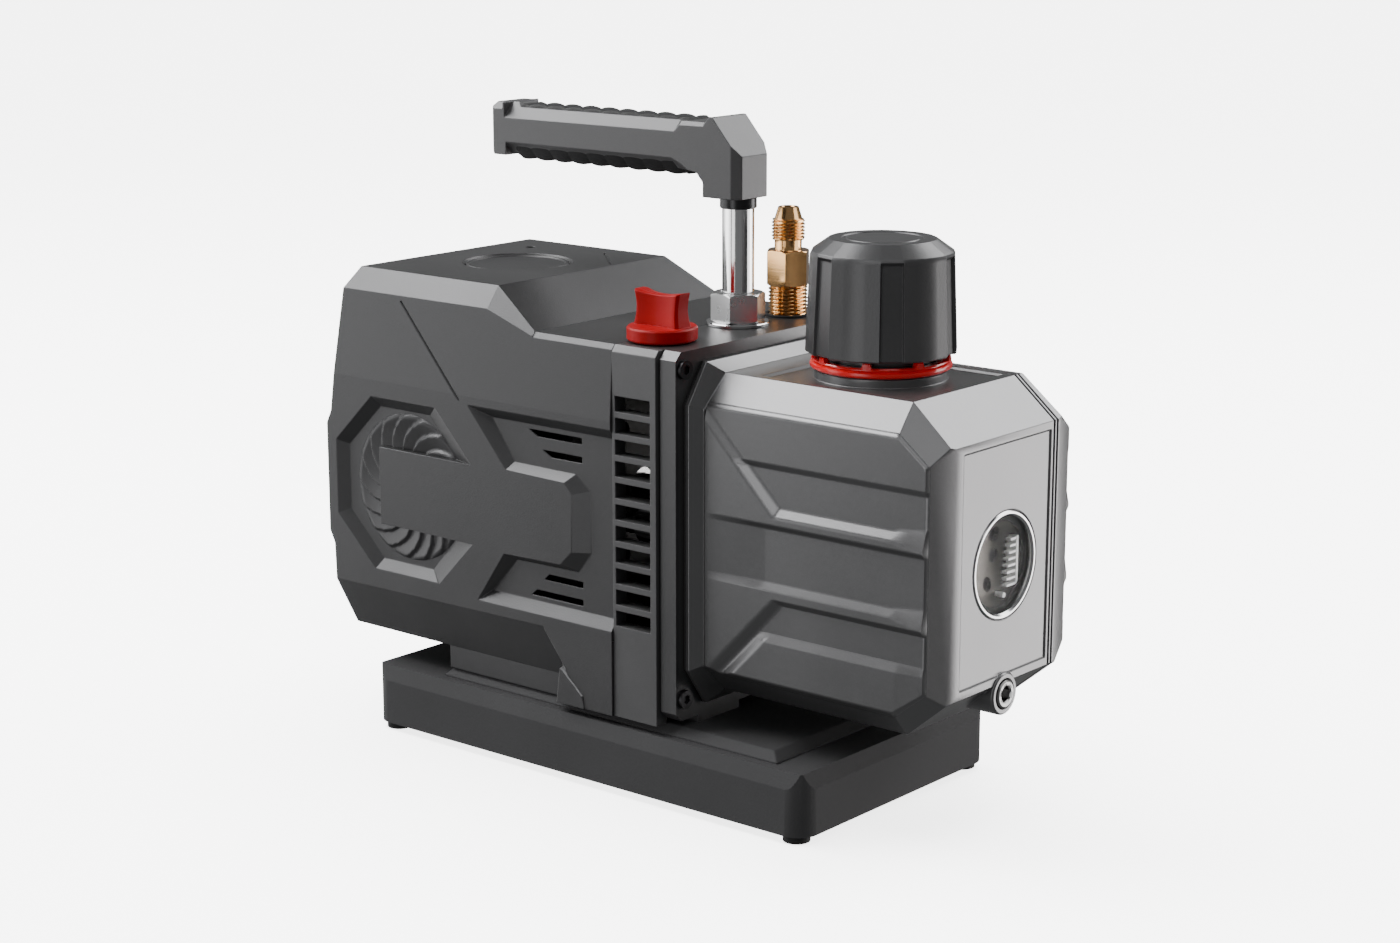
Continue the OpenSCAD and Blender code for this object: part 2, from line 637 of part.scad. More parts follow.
// end view of the tank, drawn in by t
function tank_end(t) = shifted([
  [tank_half - t, t / 2 - tank_rise + 11.8], [tank_half - t, tank_rise - 11.8 - t / 2],
  [tank_half - 12.5 - t / 2, tank_rise - t], [12.5 - tank_half + t / 2, tank_rise - t],
  [t - tank_half, tank_rise - 11.8 - t / 2], [t - tank_half, t / 2 - tank_rise + 11.8],
  [12.5 - tank_half + t / 2, t - tank_rise], [tank_half - 12.5 - t / 2, t - tank_rise]], [0, axis_z]);

// outline of the tank's mounting flange, slightly larger than the body
flange_pts = shifted([
  [tank_half + 4.1, 10.1 - tank_rise], [tank_half + 4.1, tank_rise - 10.1],
  [tank_half - 5.9, tank_rise + 4.4], [5.9 - tank_half, tank_rise + 4.4],
  [-tank_half - 4.1, tank_rise - 10.1], [-tank_half - 4.1, 10.1 - tank_rise],
  [5.9 - tank_half, -tank_rise - 4.4], [tank_half - 5.9, -tank_rise - 4.4]], [0, axis_z]);

module tank_gasket() color(black) put() difference() {
  prism_x(flange_pts, x_flange, x_tank);
  prism_x(tank_end(6), x_flange - 1, x_tank + 1);
  for (p = tank_screw_spots) xcyl(2.05, x_flange - 1, x_tank + 1, p.x, p.y);
}

// bevelled step from the flange down to the tank's body
module tank_root() difference() {
  prism_x(flange_pts, x_tank, x_tank + 5.5);
  for (m = [0, 1]) translate([0, 0, 2 * axis_z * m]) mirror([0, 0, m]) {
    beyond([x_tank + 1.6, 0, tank_top + 4.4], [x_tank + 5.5, 0, tank_top - 0.4],
           [x_tank + 5.5, 9, tank_top - 0.4], [1, 0, 1]);
    both_sides()
      beyond([x_tank + 1.6, tank_half + 4.1, tank_top - 14.5],
             [x_tank + 5.5, tank_half - 0.4, tank_top - 12.2],
             [x_tank + 1.6, tank_half - 5.9, tank_top + 4.4], [1, 1, 1]);
  }
  both_sides()
    beyond([x_tank + 1.6, tank_half + 4.1, 0], [x_tank + 5.5, tank_half - 0.4, 0],
           [x_tank + 5.5, tank_half - 0.4, 9], [1, 1, 0]);
}

module tank_body() difference() {
  intersection() {
    prism_x(tank_end(0), x_tank, x_face);
    prism_y([[x_tank, tank_bot], [x_face - 17.1, tank_bot], [x_face, tank_bot + 14.3],
             [x_face, tank_top - 14.3], [x_face - 17.1, tank_top], [x_tank, tank_top]],
            -big / 2, big / 2);
    prism_z([[x_tank, -tank_half], [x_face - 3.8, -tank_half], [x_face, 13.9 - tank_half],
             [x_face, tank_half - 13.9], [x_face - 3.8, tank_half], [x_tank, tank_half]], 0, big);
  }
  // facets at the four front corners
  for (m = [0, 1]) translate([0, 0, 2 * axis_z * m]) mirror([0, 0, m])
    both_sides()
      beyond([x_face - 17.1, tank_half - 12.5, tank_top], [x_face - 3.8, tank_half, tank_top - 20.8],
             [x_face - 15.3, tank_half, tank_top - 11.8], [1, 1, 1]);
}

// stepped panels on the tank's sides
module tank_panels() {
  y0 = tank_half - 2;
  xa = x_tank + 6;
  xb = x_face - 6;
  prism_y([[xa, tank_top - 13.6], [xa + 30, axis_z + 15.5], [xb, axis_z + 15.5],
           [xb, tank_top - 22], [xb - 9, tank_top - 13.6]], y0, big);
  prism_y(box_pts(xa + 2, xb, axis_z - 12.8, axis_z + 9), y0 + 0.8, big);
  prism_y([[xa + 14, axis_z - 32.5], [xb, axis_z - 32.5], [xb, axis_z - 19.5],
           [xa + 27, axis_z - 19.5]], y0, big);
}

module oil_tank() color(alu) put() difference() {
  union() {
    tank_root();
    tank_body();
    xcyl(drain_dia / 2, x_face - 26, x_face, 0, drain_z);
    translate([cap_x, 0, tank_top - 1]) cylinder(r = 24, h = 3.7);
    translate([cap_x, 0, tank_top - 1]) cylinder(r = 20, h = 16);
  }
  intersection() {
    prism_x(tank_end(tank_wall + 2), x_tank - 1, x_face - tank_wall - 1);
    prism_y([[x_tank - 1, tank_bot + 5], [x_face - 19, tank_bot + 5],
             [x_face - 5, tank_bot + 17], [x_face - 5, tank_top - 17],
             [x_face - 19, tank_top - 5], [x_tank - 1, tank_top - 5]], -big / 2, big / 2);
  }
  for (p = tank_screw_spots) xcyl(2.05, x_tank - 1, x_tank + 5.4, p.x, p.y);
  both_sides() tank_panels();
  // shallow panel and edge grooves on the front face
  prism_x(shifted(cut_box(26, 41, 0.6), [0, axis_z]), x_face - 0.8, x_face + 1);
  for (y = [30, 33.6])
    prism_x(box_pts(y - 0.5, y + 0.5, axis_z - 43, axis_z + 43), x_face - 0.8, x_face + 1);
  // seat and window for the sight glass
  xcyl(sight_dia / 2 + 2 + fit, x_face - 4, x_face + 9, 0, sight_z);
  xcyl(sight_dia / 2 - 2, x_face - 20, x_face + 9, 0, sight_z);
  // drain passage
  xcyl(5 + fit, x_face - 14, x_face + 9, 0, drain_z);
  xcyl(3, x_face - 23, x_face, 0, drain_z);
  translate([x_face - 20, 0, drain_z]) cylinder(r = 3, h = 12);
  // filling and exhaust neck
  translate([cap_x, 0, tank_top - 9]) cylinder(r = 16.5, h = 40);
}

module tank_screws() color(steel) put()
  for (p = tank_screw_spots) difference() {
    union() {
      xcyl(2, x_front, x_tank + 5, p.x, p.y);
      xcyl(3, x_front - 3, x_front, p.x, p.y);
    }
    translate([x_front - 4, p.x, p.y]) rotate([0, 90, 0]) cylinder(r = 1.6, h = 2.6, $fn = 6);
  }

module sight_ring() color(alu) put()
  xring(sight_dia / 2 + 2, sight_dia / 2, x_face - 3, x_face - 0.5, 0, sight_z);

module sight_glass() color([0.8, 0.85, 0.85, 0.4]) put()
  xcyl(sight_dia / 2 - fit, x_face - 3, x_face - 0.9, 0, sight_z);

module sight_seal() color(black) put()
  xring(sight_dia / 2 + 1.8, sight_dia / 2 - 2, x_face - 4, x_face - 3, 0, sight_z);

module oil_baffle() color(steel) put() difference() {
  union() {
    xcyl(sight_dia / 2 + 3, x_face - 9, x_face - 7.4, 0, sight_z);
    for (k = [-4:4])
      translate([x_face - 7.4, 1.2, sight_z + 2.6 * k - 0.7]) cube([1, 5.5, 1.4]);
    translate([x_end + 10.4, -4, sight_z - 20]) cube([x_face - 8 - x_end - 10.4, 8, 2]);
  }
  for (a = [-35, 0, 35]) translate([0, 0, sight_z]) rotate([a, 0, 0])
    xcyl(2, x_face - 10, x_face - 7, -10, 0);
}

module drain_plug() color(steel) put() difference() {
  union() {
    xcyl(5, x_face - 12, x_face + 0.3, 0, drain_z);
    xcyl(5.25, x_face + 0.3, x_face + drain_out, 0, drain_z);
  }
  translate([x_face - 3, 0, drain_z]) rotate([0, 90, 0]) cylinder(r = 3, h = 9, $fn = 6);
}

module drain_seal() color(black) put()
  xring(6.6, 5 + fit, x_face, x_face + 0.3, 0, drain_z);

// ---------- exhaust cap ----------

module exhaust_ring() color(red) put() translate([cap_x, 0, tank_top + 2.7]) {
  zring(25.6, 20.4, ring_h);
  for (i = [0:7]) rotate([0, 0, 45 * i + 20])
    translate([22, -1.6, ring_h - 0.5]) cube([3.2, 3.2, 1.3]);
}

module exhaust_cap() color(black) put()
  translate([cap_x, 0, tank_top + 2.7 + ring_h + 1.1]) difference() {
    union() {
      // skirt cut to sixteen flats
      linear_extrude(height = cap_h - 4) circle(r = cap_dia / 2, $fn = 16);
      translate([0, 0, cap_h - 4]) cylinder(r = cap_dia / 2 - 1.6, h = 2, $fn = 16);
      translate([0, 0, cap_h - 2]) cylinder(r = cap_dia / 2 - 3.8, h = 2, $fn = 16);
    }
    translate([0, 0, -1]) cylinder(r = 20.4, h = 12);
    translate([0, 0, 10]) cylinder(r = 18, h = cap_h - 14);
    for (i = [0:11]) rotate([0, 0, 30 * i])
      translate([19, -1.5, -1]) cube([cap_dia, 3, 2.2]);
  }

module exhaust_filter() color([0.7, 0.7, 0.68]) put()
  translate([cap_x, 0, tank_top + 4]) difference() {
    cylinder(r = 16.3, h = 9);
    translate([0, 0, -1]) cylinder(r = 13.5, h = 8.5);
    for (i = [0:7]) rotate([0, 0, 45 * i]) translate([8, 0, 0]) cylinder(r = 2, h = 20);
  }

// ---------- top fittings ----------

module ballast_knob() color(red) put() translate([ballast_x, ballast_y, deck_z + 0.4]) difference() {
  union() {
    cylinder(r = knob_dia / 2, h = 5.3);
    intersection() {
      translate([-knob_dia * 0.42, -4.6, 5]) cube([knob_dia * 0.84, 9.2, 13]);
      cylinder(r = knob_dia * 0.43, h = 20);
    }
  }
  for (m = [0, 1]) mirror([0, m, 0])
    translate([0, 27.2, 5.3]) cylinder(r = 25, h = 20);
  translate([0, 40, 57.3]) rotate([90, 0, 0]) cylinder(r = 40, h = 80);
  translate([0, 0, -1]) cylinder(r = 3 + 0.01, h = 7);
}

module ballast_stem() color(steel) put() translate([ballast_x, ballast_y, deck_z]) {
  translate([0, 0, -8]) cylinder(r = 5, h = 8.4);
  cylinder(r = 3, h = 6.3);
}

module inlet_fitting() color([0.72, 0.55, 0.25]) put() translate([inlet_x, inlet_y, deck_z]) difference() {
  union() {
    translate([0, 0, -7]) cylinder(r = 7.45, h = 18.8);
    translate([0, 0, 0.9]) cylinder(r = 7.5, h = 10.9);
    translate([0, 0, 11.8]) rotate([0, 0, 39]) cylinder(r = 8.75, h = 13.4, $fn = 6);
    translate([0, 0, 8]) cylinder(r = 5.2, h = 24);
    translate([0, 0, 29]) cylinder(r = inlet_thread / 2, h = 8);
    translate([0, 0, 36]) cylinder(r1 = 5.24, r2 = 3.9, h = 5.6);
  }
  translate([0, 0, -8]) cylinder(r = 2.5, h = 60);
}

module inlet_seal() color(black) put() translate([inlet_x, inlet_y, deck_z]) zring(8.8, 7.55, 0.9);

module handle_post() color(steel) put() translate([post_x, post_y, deck_z - 9.5])
  cylinder(r = post_dia / 2, h = grip_top - deck_z - 29.7 + 9.5 + 17);

module handle_washer() color(steel) put()
  translate([post_x, post_y, deck_z]) zring(12, post_dia / 2 + fit, 1.4);

module handle_nut() color(steel) put()
  translate([post_x, post_y, deck_z + 1.4]) difference() {
    rotate([0, 0, 19]) cylinder(r = 10.5, h = 10.8, $fn = 6);
    translate([0, 0, -1]) cylinder(r = post_dia / 2 + fit, h = 20);
  }

module handle_collar() color(dark) put()
  translate([post_x, post_y, grip_bot - 4]) zring(6.9, post_dia / 2 + fit, 4);

module handle_grip() color(grey) put() difference() {
  gx = post_x + 7.7;                 // front face of the elbow
  gr = gx - grip_len;                // rear end of the grip
  z = grip_bot;
  w = grip_wid / 2;
  intersection() {
    translate([0, post_y, 0])
      prism_y([[gx, z], [gx, z + 15.9], [gx - 12.1, z + 29.7], [gx - 18, z + 27.6],
               [gr + 14, z + 27.6], [gr + 12, z + 29.2], [gr + 3, z + 29.2], [gr, z + 25.4],
               [gr, z + 11.4], [gr + 3, z + 8.4], [gx - 21, z + 8.4], [gx - 16.8, z + 5.2],
               [gx - 16.8, z]], -w, w);
    translate([0, post_y, 0])
      prism_z([[gx, 4 - w], [gx, w - 4], [gx - 5.5, w], [gr, w], [gr, -w], [gx - 5.5, -w]], 0, big);
  }
  // bevels along the gripping length, above and below
  for (m = [0, 1]) translate([0, post_y, 0]) mirror([0, m, 0]) {
    prism_x([[w - 4, z + 27.6], [w, z + 23.4], [w + 9, z + 23.4], [w + 9, z + 37], [w - 4, z + 37]],
            gr + 9, gx - 30.4);
    prism_x([[w - 4, z + 8.4], [w, z + 13.6], [w + 9, z + 13.6], [w + 9, z], [w - 4, z]],
            gr + 9, gx - 30.4);
  }
  // shallow waves on top and underneath
  for (i = [0:7]) {
    translate([gr + 20 + 9.5 * i, post_y + 30, z + 27.6 + 9.2])
      rotate([90, 0, 0]) cylinder(r = 10, h = 60);
    translate([gr + 20 + 9.5 * i, post_y + 30, z + 8.4 - 9.2])
      rotate([90, 0, 0]) cylinder(r = 10, h = 60);
  }
  translate([post_x, post_y, z - 1]) cylinder(r = post_dia / 2 + fit, h = 18.2);
}

// ---------- mains inlet and switch ----------

module inlet_pins() color(steel) put() for (p = pin_spots)
  translate([x_rear + 34.5 + p.x, shroud_half - 20, mains_z - 2 + p.y]) cube([2, 19, 4]);

module power_inlet() color(black) put() difference() {
  y1 = shroud_half;
  union() {
    translate([x_rear + 22, y1 - 18, mains_z - 10]) cube([27, 18, 20]);
    translate([x_rear + 19.6, y1 - 1.8, mains_z - 12.6]) cube([31.8, 2.6, 25.2]);
  }
  translate([x_rear + 23.5, y1 - 14, mains_z - 8.3]) cube([24, 20, 16.6]);
  for (p = pin_spots)
    translate([x_rear + 34.5 + p.x, y1 - 30, mains_z - 2 + p.y]) cube([2, 30, 4]);
}

module switch_frame() color(black) put() difference() {
  y1 = shroud_half;
  union() {
    translate([x_rear + 61, y1 - 14, switch_z - 6.5]) cube([19, 14, 13]);
    translate([x_rear + 59.5, y1 - 1.8, switch_z - 8.1]) cube([22, 2.2, 16.2]);
  }
  translate([x_rear + 62.5, y1 - 11, switch_z - 5.2]) cube([16, 20, 10.4]);
  xcyl(1, x_rear + 61.6, x_rear + 79.4, y1 - 3.4, switch_z);
}

// tilted to its off position
module rocker_switch() color(red) put()
  translate([0, shroud_half - 3.4, switch_z]) rotate([5, 0, 0]) {
    prism_x([[-2.5, -4.4], [3.6, -4.4], [2.6, 0], [3.6, 4.4], [-2.5, 4.4]],
            x_rear + 63.3, x_rear + 77.7);
    xcyl(0.95, x_rear + 61.7, x_rear + 79.3, 0, 0);
  }

base_tray();
rubber_feet();
foot_screws();
mounting_plinth();
plinth_bolts();
motor_foot();
motor_shroud();
vent_frame();
rear_grille();
shroud_screws();
top_disc();
motor_case();
rear_bell();
front_bell();
stator_core();
windings();
rotor_core();
motor_shaft();
rear_bearing();
front_bearing();
cooling_fan();
capacitor();
shaft_coupling();
pump_shaft();
support_casting();
support_screws();
shaft_seal();
pump_cylinder();
pump_rotor();
pump_vanes();
vane_springs();
end_cover();
pump_bolts();
discharge_valve();
valve_stop();
tank_gasket();
oil_tank();
tank_screws();
sight_ring();
sight_glass();
sight_seal();
oil_baffle();
drain_plug();
drain_seal();
exhaust_ring();
exhaust_cap();
exhaust_filter();
ballast_knob();
ballast_stem();
inlet_fitting();
inlet_seal();
handle_post();
handle_nut();
handle_washer();
handle_collar();
handle_grip();
power_inlet();
inlet_pins();
switch_frame();
rocker_switch();
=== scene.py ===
# %% [markdown]
# # A rotary vane vacuum pump, dressed in Blender
# The pump arrives as CAD solids that stand in one shared frame. Exact parts such as bolts, shafts and bearings keep
# their CAD mesh and get a finish. Castings and mouldings whose beauty is in bevelled pockets, ribs and threads are
# made again here as surfaces worked out with numpy, and stand in for their CAD nodes. First come the frame and the
# units: all shapes below are written in millimetres from the middle of the base tray, the way a maker measures.

# %% Frame and units
import math

import bpy
import numpy as np
from mathutils import Matrix, Vector


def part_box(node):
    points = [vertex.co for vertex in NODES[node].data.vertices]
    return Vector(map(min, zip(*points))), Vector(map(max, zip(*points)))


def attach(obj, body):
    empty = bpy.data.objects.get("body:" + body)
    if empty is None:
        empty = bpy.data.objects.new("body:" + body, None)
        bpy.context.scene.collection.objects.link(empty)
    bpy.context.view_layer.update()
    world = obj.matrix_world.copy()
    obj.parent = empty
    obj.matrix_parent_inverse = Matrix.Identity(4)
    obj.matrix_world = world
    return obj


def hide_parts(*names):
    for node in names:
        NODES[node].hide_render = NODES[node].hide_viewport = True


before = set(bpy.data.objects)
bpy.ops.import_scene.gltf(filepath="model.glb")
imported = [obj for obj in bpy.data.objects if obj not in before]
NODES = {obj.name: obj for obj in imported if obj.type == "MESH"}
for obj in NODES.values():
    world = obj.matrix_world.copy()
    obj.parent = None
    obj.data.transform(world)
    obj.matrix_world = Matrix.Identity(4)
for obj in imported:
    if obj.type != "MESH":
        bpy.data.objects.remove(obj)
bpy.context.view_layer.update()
MM = 0.001
tray_lo, tray_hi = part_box("base_tray")
MID = np.array([(tray_lo.x + tray_hi.x) / 2, 0.0, 0.0])


def span(node):
    """Lowest and highest corner of a CAD node in millimetres from the middle of the tray."""
    lo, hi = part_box(node)
    return (np.array(lo) - MID) / MM, (np.array(hi) - MID) / MM


print("nodes", len(NODES), "tray from", span("base_tray")[0].round(1), "to", span("base_tray")[1].round(1))

# %% [markdown]
# ## Camera, floor and light
# A long lens from the front right, a little above the pump, shows the side, the front and the top in one look.
# The floor is one large pale sheet that curves up far away, so that it fills the view from low down as well. Soft
# panels light the bevels: a panel's direction is chosen as the one that a face mirrors towards the camera, so each
# family of faces has its own panel and its own tone. The floor stays out of mirror reflections, so that the paint
# shows the panels and not a white floor. Two cards light the bright metals alone, through light linking.

# %% Camera
AZIMUTH, ELEVATION = math.radians(39.708), math.radians(13.09)
back = Vector((math.sin(AZIMUTH) * math.cos(ELEVATION), -math.cos(AZIMUTH) * math.cos(ELEVATION),
               math.sin(ELEVATION)))
right = Vector((math.cos(AZIMUTH), math.sin(AZIMUTH), 0))
up = back.cross(right)
camera = bpy.data.objects.new("camera", bpy.data.cameras.new("camera"))
bpy.context.scene.collection.objects.link(camera)
turn = Matrix((right, up, back)).transposed().to_4x4()
camera.matrix_world = Matrix.Translation(Vector((0.6473, -0.77664, 0.34694))) @ turn
camera.data.lens = 70.07
camera.data.sensor_width = 36
camera.data.clip_end = 60
bpy.context.scene.camera = camera
print("camera at", tuple(round(v, 3) for v in camera.location))


# %% Lights
def panel(name, toward, distance, width, height, power, colour=(1, 1, 1)):
    """Soft panel light that hangs in direction toward and faces the pump's middle."""
    aim = Vector((0, 0, 0.11))
    way = Vector(toward).normalized()
    data = bpy.data.lights.new(name, "AREA")
    data.shape = "RECTANGLE"
    data.size, data.size_y = width, height
    data.energy = power
    data.color = colour
    lamp = bpy.data.objects.new(name, data)
    lamp.matrix_world = Matrix.Translation(aim + way * distance) @ way.to_track_quat("Z", "Y").to_matrix().to_4x4()
    lamp.visible_camera = False
    bpy.context.scene.collection.objects.link(lamp)
    return lamp


panel("panel_high_left", (-0.62, -0.22, 0.74), 1.5, 1.1, 1.1, 38)
panel("panel_high_behind", (0.22, 0.74, 0.62), 1.5, 0.95, 0.75, 16)
panel("panel_front_right", (0.58, 0.79, -0.18), 1.4, 0.6, 0.95, 12, (1.0, 0.975, 0.965))
panel("panel_near_side", (-0.78, -0.62, 0.03), 2.2, 1.4, 1.2, 11)
panel("panel_far_left", (-0.95, -0.15, -0.12), 1.6, 0.8, 1.5, 8)
panel("panel_near_centre", (0.05, -1, -0.06), 2.2, 0.9, 1.4, 8)
panel("panel_overhead", (0.48, -0.26, 0.84), 1.5, 0.8, 0.8, 3)
shoulder = panel("panel_over_shoulder", (0.2, -0.82, 0.53), 1.6, 0.7, 0.6, 4)

world = bpy.data.worlds.new("studio")
bpy.context.scene.world = world
world.use_nodes = True
world.node_tree.nodes["Background"].inputs["Color"].default_value = (0.93, 0.94, 0.95, 1)
world.node_tree.nodes["Background"].inputs["Strength"].default_value = 0.2


def light_only(lamp, *pieces):
    """The lamp lights and shows up in these pieces only."""
    group = lamp.light_linking.receiver_collection
    if group is None:
        group = lamp.light_linking.receiver_collection = bpy.data.collections.new(lamp.name + "_for")
    for piece in pieces:
        group.objects.link(piece)


sun = bpy.data.objects.new("floor_sun", bpy.data.lights.new("floor_sun", "SUN"))
sun.data.energy, sun.data.angle = 8.0, math.radians(70)
sun.matrix_world = Vector((-0.15, 0.1, 1)).to_track_quat("Z", "Y").to_matrix().to_4x4()
bpy.context.scene.collection.objects.link(sun)
cards = [panel("card_left", (-0.66, -0.75, -0.05), 1.3, 1.2, 1.5, 16), panel("card_right", (0.85, 0.4, 0.0), 1.3, 0.9, 1.5, 12)]

# %% [markdown]
# ## Writing materials as sums
# A material is maths on colours and heights. The small class below wraps one socket, so that a sum or a product
# written in Python adds the Math node that does it. Everything else goes through one method, which takes the
# node's type, its settings and its inputs. All patterns read Object coordinates, in metres, because every piece
# keeps its place in its mesh.

# %% Sockets that can be added and multiplied
class Value:
    """One output socket; arithmetic on it adds Math nodes."""

    def __init__(self, kit, socket):
        self.kit, self.socket = kit, socket

    def math(self, operation, *others):
        return self.kit.node("ShaderNodeMath", {"operation": operation}, **dict(zip("012", others)))

    def __add__(self, o):
        return self.math("ADD", self, o)

    def __sub__(self, o):
        return self.math("SUBTRACT", self, o)

    def __rsub__(self, o):
        return self.math("SUBTRACT", o, self)

    def __mul__(self, o):
        return self.math("MULTIPLY", self, o)

    def __pow__(self, o):
        return self.math("POWER", self, o)

    def above(self, level, soft):
        """0 below level, 1 above it, with a ramp of width soft between."""
        return self.kit.node("ShaderNodeMapRange", {"clamp": True}, **{
            "Value": self, "From Min": level - soft / 2, "From Max": level + soft / 2})

    __radd__, __rmul__ = __add__, __mul__


class Finish:
    """A material under construction: its nodes and its Principled shader."""

    def __init__(self, name):
        self.material = bpy.data.materials.new(name)
        self.material.use_nodes = True
        self.tree = self.material.node_tree
        self.shader = self.tree.nodes["Principled BSDF"]
        where = self.node("ShaderNodeTexCoord", {}, out="Object")
        self.where = where
        split = self.node("ShaderNodeSeparateXYZ", {}, out=None, Vector=where)
        self.x, self.y, self.z = (Value(self, split.outputs[k]) for k in "XYZ")

    def node(self, kind, settings=None, out=0, **inputs):
        """Adds a node, sets it up, feeds its inputs and gives back one output."""
        new = self.tree.nodes.new(kind)
        for key, value in (settings or {}).items():
            if key == "stops":
                ramp = new.color_ramp
                while len(ramp.elements) < len(value):
                    ramp.elements.new(0.5)
                for e, (at, colour) in zip(ramp.elements, value):
                    e.position, e.color = at, colour
            else:
                setattr(new, key, value)
        for key, value in inputs.items():
            socket = new.inputs[int(key) if key.isdigit() else key]
            if isinstance(value, Value):
                self.tree.links.new(value.socket, socket)
            else:
                socket.default_value = value
        return new if out is None else Value(self, new.outputs[out])

    def noise(self, scale, detail=2.0, stretch=(1, 1, 1), rough=0.5):
        """Noise from 0 to 1 with about scale bumps in a metre, stretched along each axis."""
        at = self.node("ShaderNodeMapping", {}, Vector=self.where, Scale=stretch)
        return self.node("ShaderNodeTexNoise", {}, Vector=at, Scale=scale, Detail=detail, Roughness=rough)

    def cells(self, scale, feature="F1", stretch=(1, 1, 1)):
        """Distance to the nearest of scattered points."""
        at = self.node("ShaderNodeMapping", {}, Vector=self.where, Scale=stretch)
        return self.node("ShaderNodeTexVoronoi", {"feature": feature}, out="Distance", Vector=at, Scale=scale)

    def blend(self, share, a, b):
        """Colour a where share is 0, colour b where it is 1."""
        return self.node("ShaderNodeMix", {"data_type": "RGBA"}, out=2, **{"0": share, "6": a, "7": b})

    def feed(self, **sockets):
        """Feeds sockets of the shader; an underscore in a name stands for a space."""
        for key, value in sockets.items():
            socket = self.shader.inputs[key.replace("_", " ")]
            if isinstance(value, Value):
                self.tree.links.new(value.socket, socket)
            else:
                socket.default_value = value
        return self

    def relief(self, height, distance, strength=1.0):
        """Small surface relief from a height of 0 to 1, distance metres deep."""
        bump = self.node("ShaderNodeBump", {}, out="Normal", Height=height, Distance=distance, Strength=strength)
        return self.feed(Normal=bump)


def rgb(hexcode, gain=1.0):
    """Colour of a swatch given as six hex digits, turned linear."""
    c = np.array([int(hexcode[i:i + 2], 16) for i in (0, 2, 4)]) / 255
    c = np.where(c < 0.04045, c / 12.92, ((c + 0.055) / 1.055) ** 2.4) * gain
    return (*map(float, c), 1.0)


print("classes ready")

# %% [markdown]
# ## Recipes for finishes
# Five recipes cover most of the pump. Moulded plastic has a fine spark-eroded grain and faint flow marks. Cast
# paint is a metallic coat over the slight orange peel of a casting. Machined metal has turning or grinding lines.
# Rubber is dull with dust. Each varies its colour and its roughness over the surface, since a single flat colour
# looks like nothing real.

# %% Moulded plastic and rubber
def moulded(name, dark, light, roughness=0.5, grain=2600, depth=0.00006, level=0.4, dust=0.0, metallic=0.0):
    """Plastic: colour drifts between dark and light over 30 mm, with a fine even grain and a little dust on top."""
    f = Finish(name)
    drift = f.noise(32, 3)
    fine = f.noise(grain, 2)
    tone = drift * 0.8 + fine * 0.2
    colour = f.blend(tone, dark, light)
    if dust:
        normal = f.node("ShaderNodeNewGeometry", {}, out="Normal")
        parts = f.node("ShaderNodeSeparateXYZ", {}, out=None, Vector=normal)
        lying = Value(f, parts.outputs["Z"]).above(0.8, 0.3) * f.noise(120, 4).above(0.55, 0.3) * dust
        colour = f.blend(lying, colour, (0.42, 0.41, 0.39, 1))
    f.feed(Base_Color=colour, Roughness=drift * 0.12 + fine * 0.08 + (roughness - 0.1),
           Specular_IOR_Level=level, Metallic=metallic)
    f.relief(f.cells(grain * 0.6) * 0.6 + fine * 0.4, depth, 0.5)
    return f.material


# %% Painted castings and machined metal
def painted(name, dark, light, metallic=0.6, roughness=0.34, peel=0.00005):
    """Metallic paint: flakes glint at half a millimetre, the coat has orange peel and slow changes of tone."""
    f = Finish(name)
    drift = f.noise(22, 3)
    flake = f.cells(2400)
    tone = drift * 0.7 + flake * 0.3
    f.feed(Base_Color=f.blend(tone, dark, light), Metallic=metallic,
           Roughness=drift * 0.1 + flake * 0.1 + (roughness - 0.1), Coat_Weight=0.12, Coat_Roughness=0.25)
    f.relief(f.noise(620, 3) * 0.7 + flake * 0.3, peel, 0.6)
    return f.material


def machined(name, dark, light, roughness=0.25, lines=(1, 1, 40), scale=90, depth=0.00002, metallic=1.0):
    """Bare metal: tool lines are noise pressed flat along one axis, with stains that change colour and gloss."""
    f = Finish(name)
    tool = f.noise(scale, 3, stretch=lines)
    stain = f.noise(55, 4)
    f.feed(Base_Color=f.blend(stain * 0.6 + tool * 0.4, dark, light), Metallic=metallic,
           Roughness=tool * 0.14 + stain * 0.1 + (roughness - 0.12))
    f.relief(tool, depth, 0.5)
    return f.material


print("recipes ready")

# %% [markdown]
# ## Surfaces from numbers
# Every new piece is a skin through loops of points: point j of loop i is one entry of an array, and four
# neighbours make a face. A prism is two loops, a turned part is a profile carried round a circle, a pocket with
# sloping walls is a small loop and a larger one. Where one form is cut from another, a Boolean modifier joins the
# two skins exactly, and its result is kept as the piece's own mesh.

# %% Skins and solids
def solid(name, points, faces):
    """Object from points in millimetres from the tray's middle. The sum of the signed volumes of the pyramids
    from the origin to each face tells whether the faces point out; if not, all are turned."""
    co = np.asarray(points, float) * MM + MID
    volume = 0.0
    for size in {len(f) for f in faces}:
        f = np.array([g for g in faces if len(g) == size])
        for k in range(1, size - 1):
            volume += np.einsum("ij,ij->i", co[f[:, 0]], np.cross(co[f[:, k]], co[f[:, k + 1]])).sum()
    mesh = bpy.data.meshes.new(name)
    mesh.from_pydata(co.tolist(), [], [f[::-1] for f in faces] if volume < 0 else faces)
    mesh.update()
    thing = bpy.data.objects.new(name, mesh)
    bpy.context.scene.collection.objects.link(thing)
    return thing


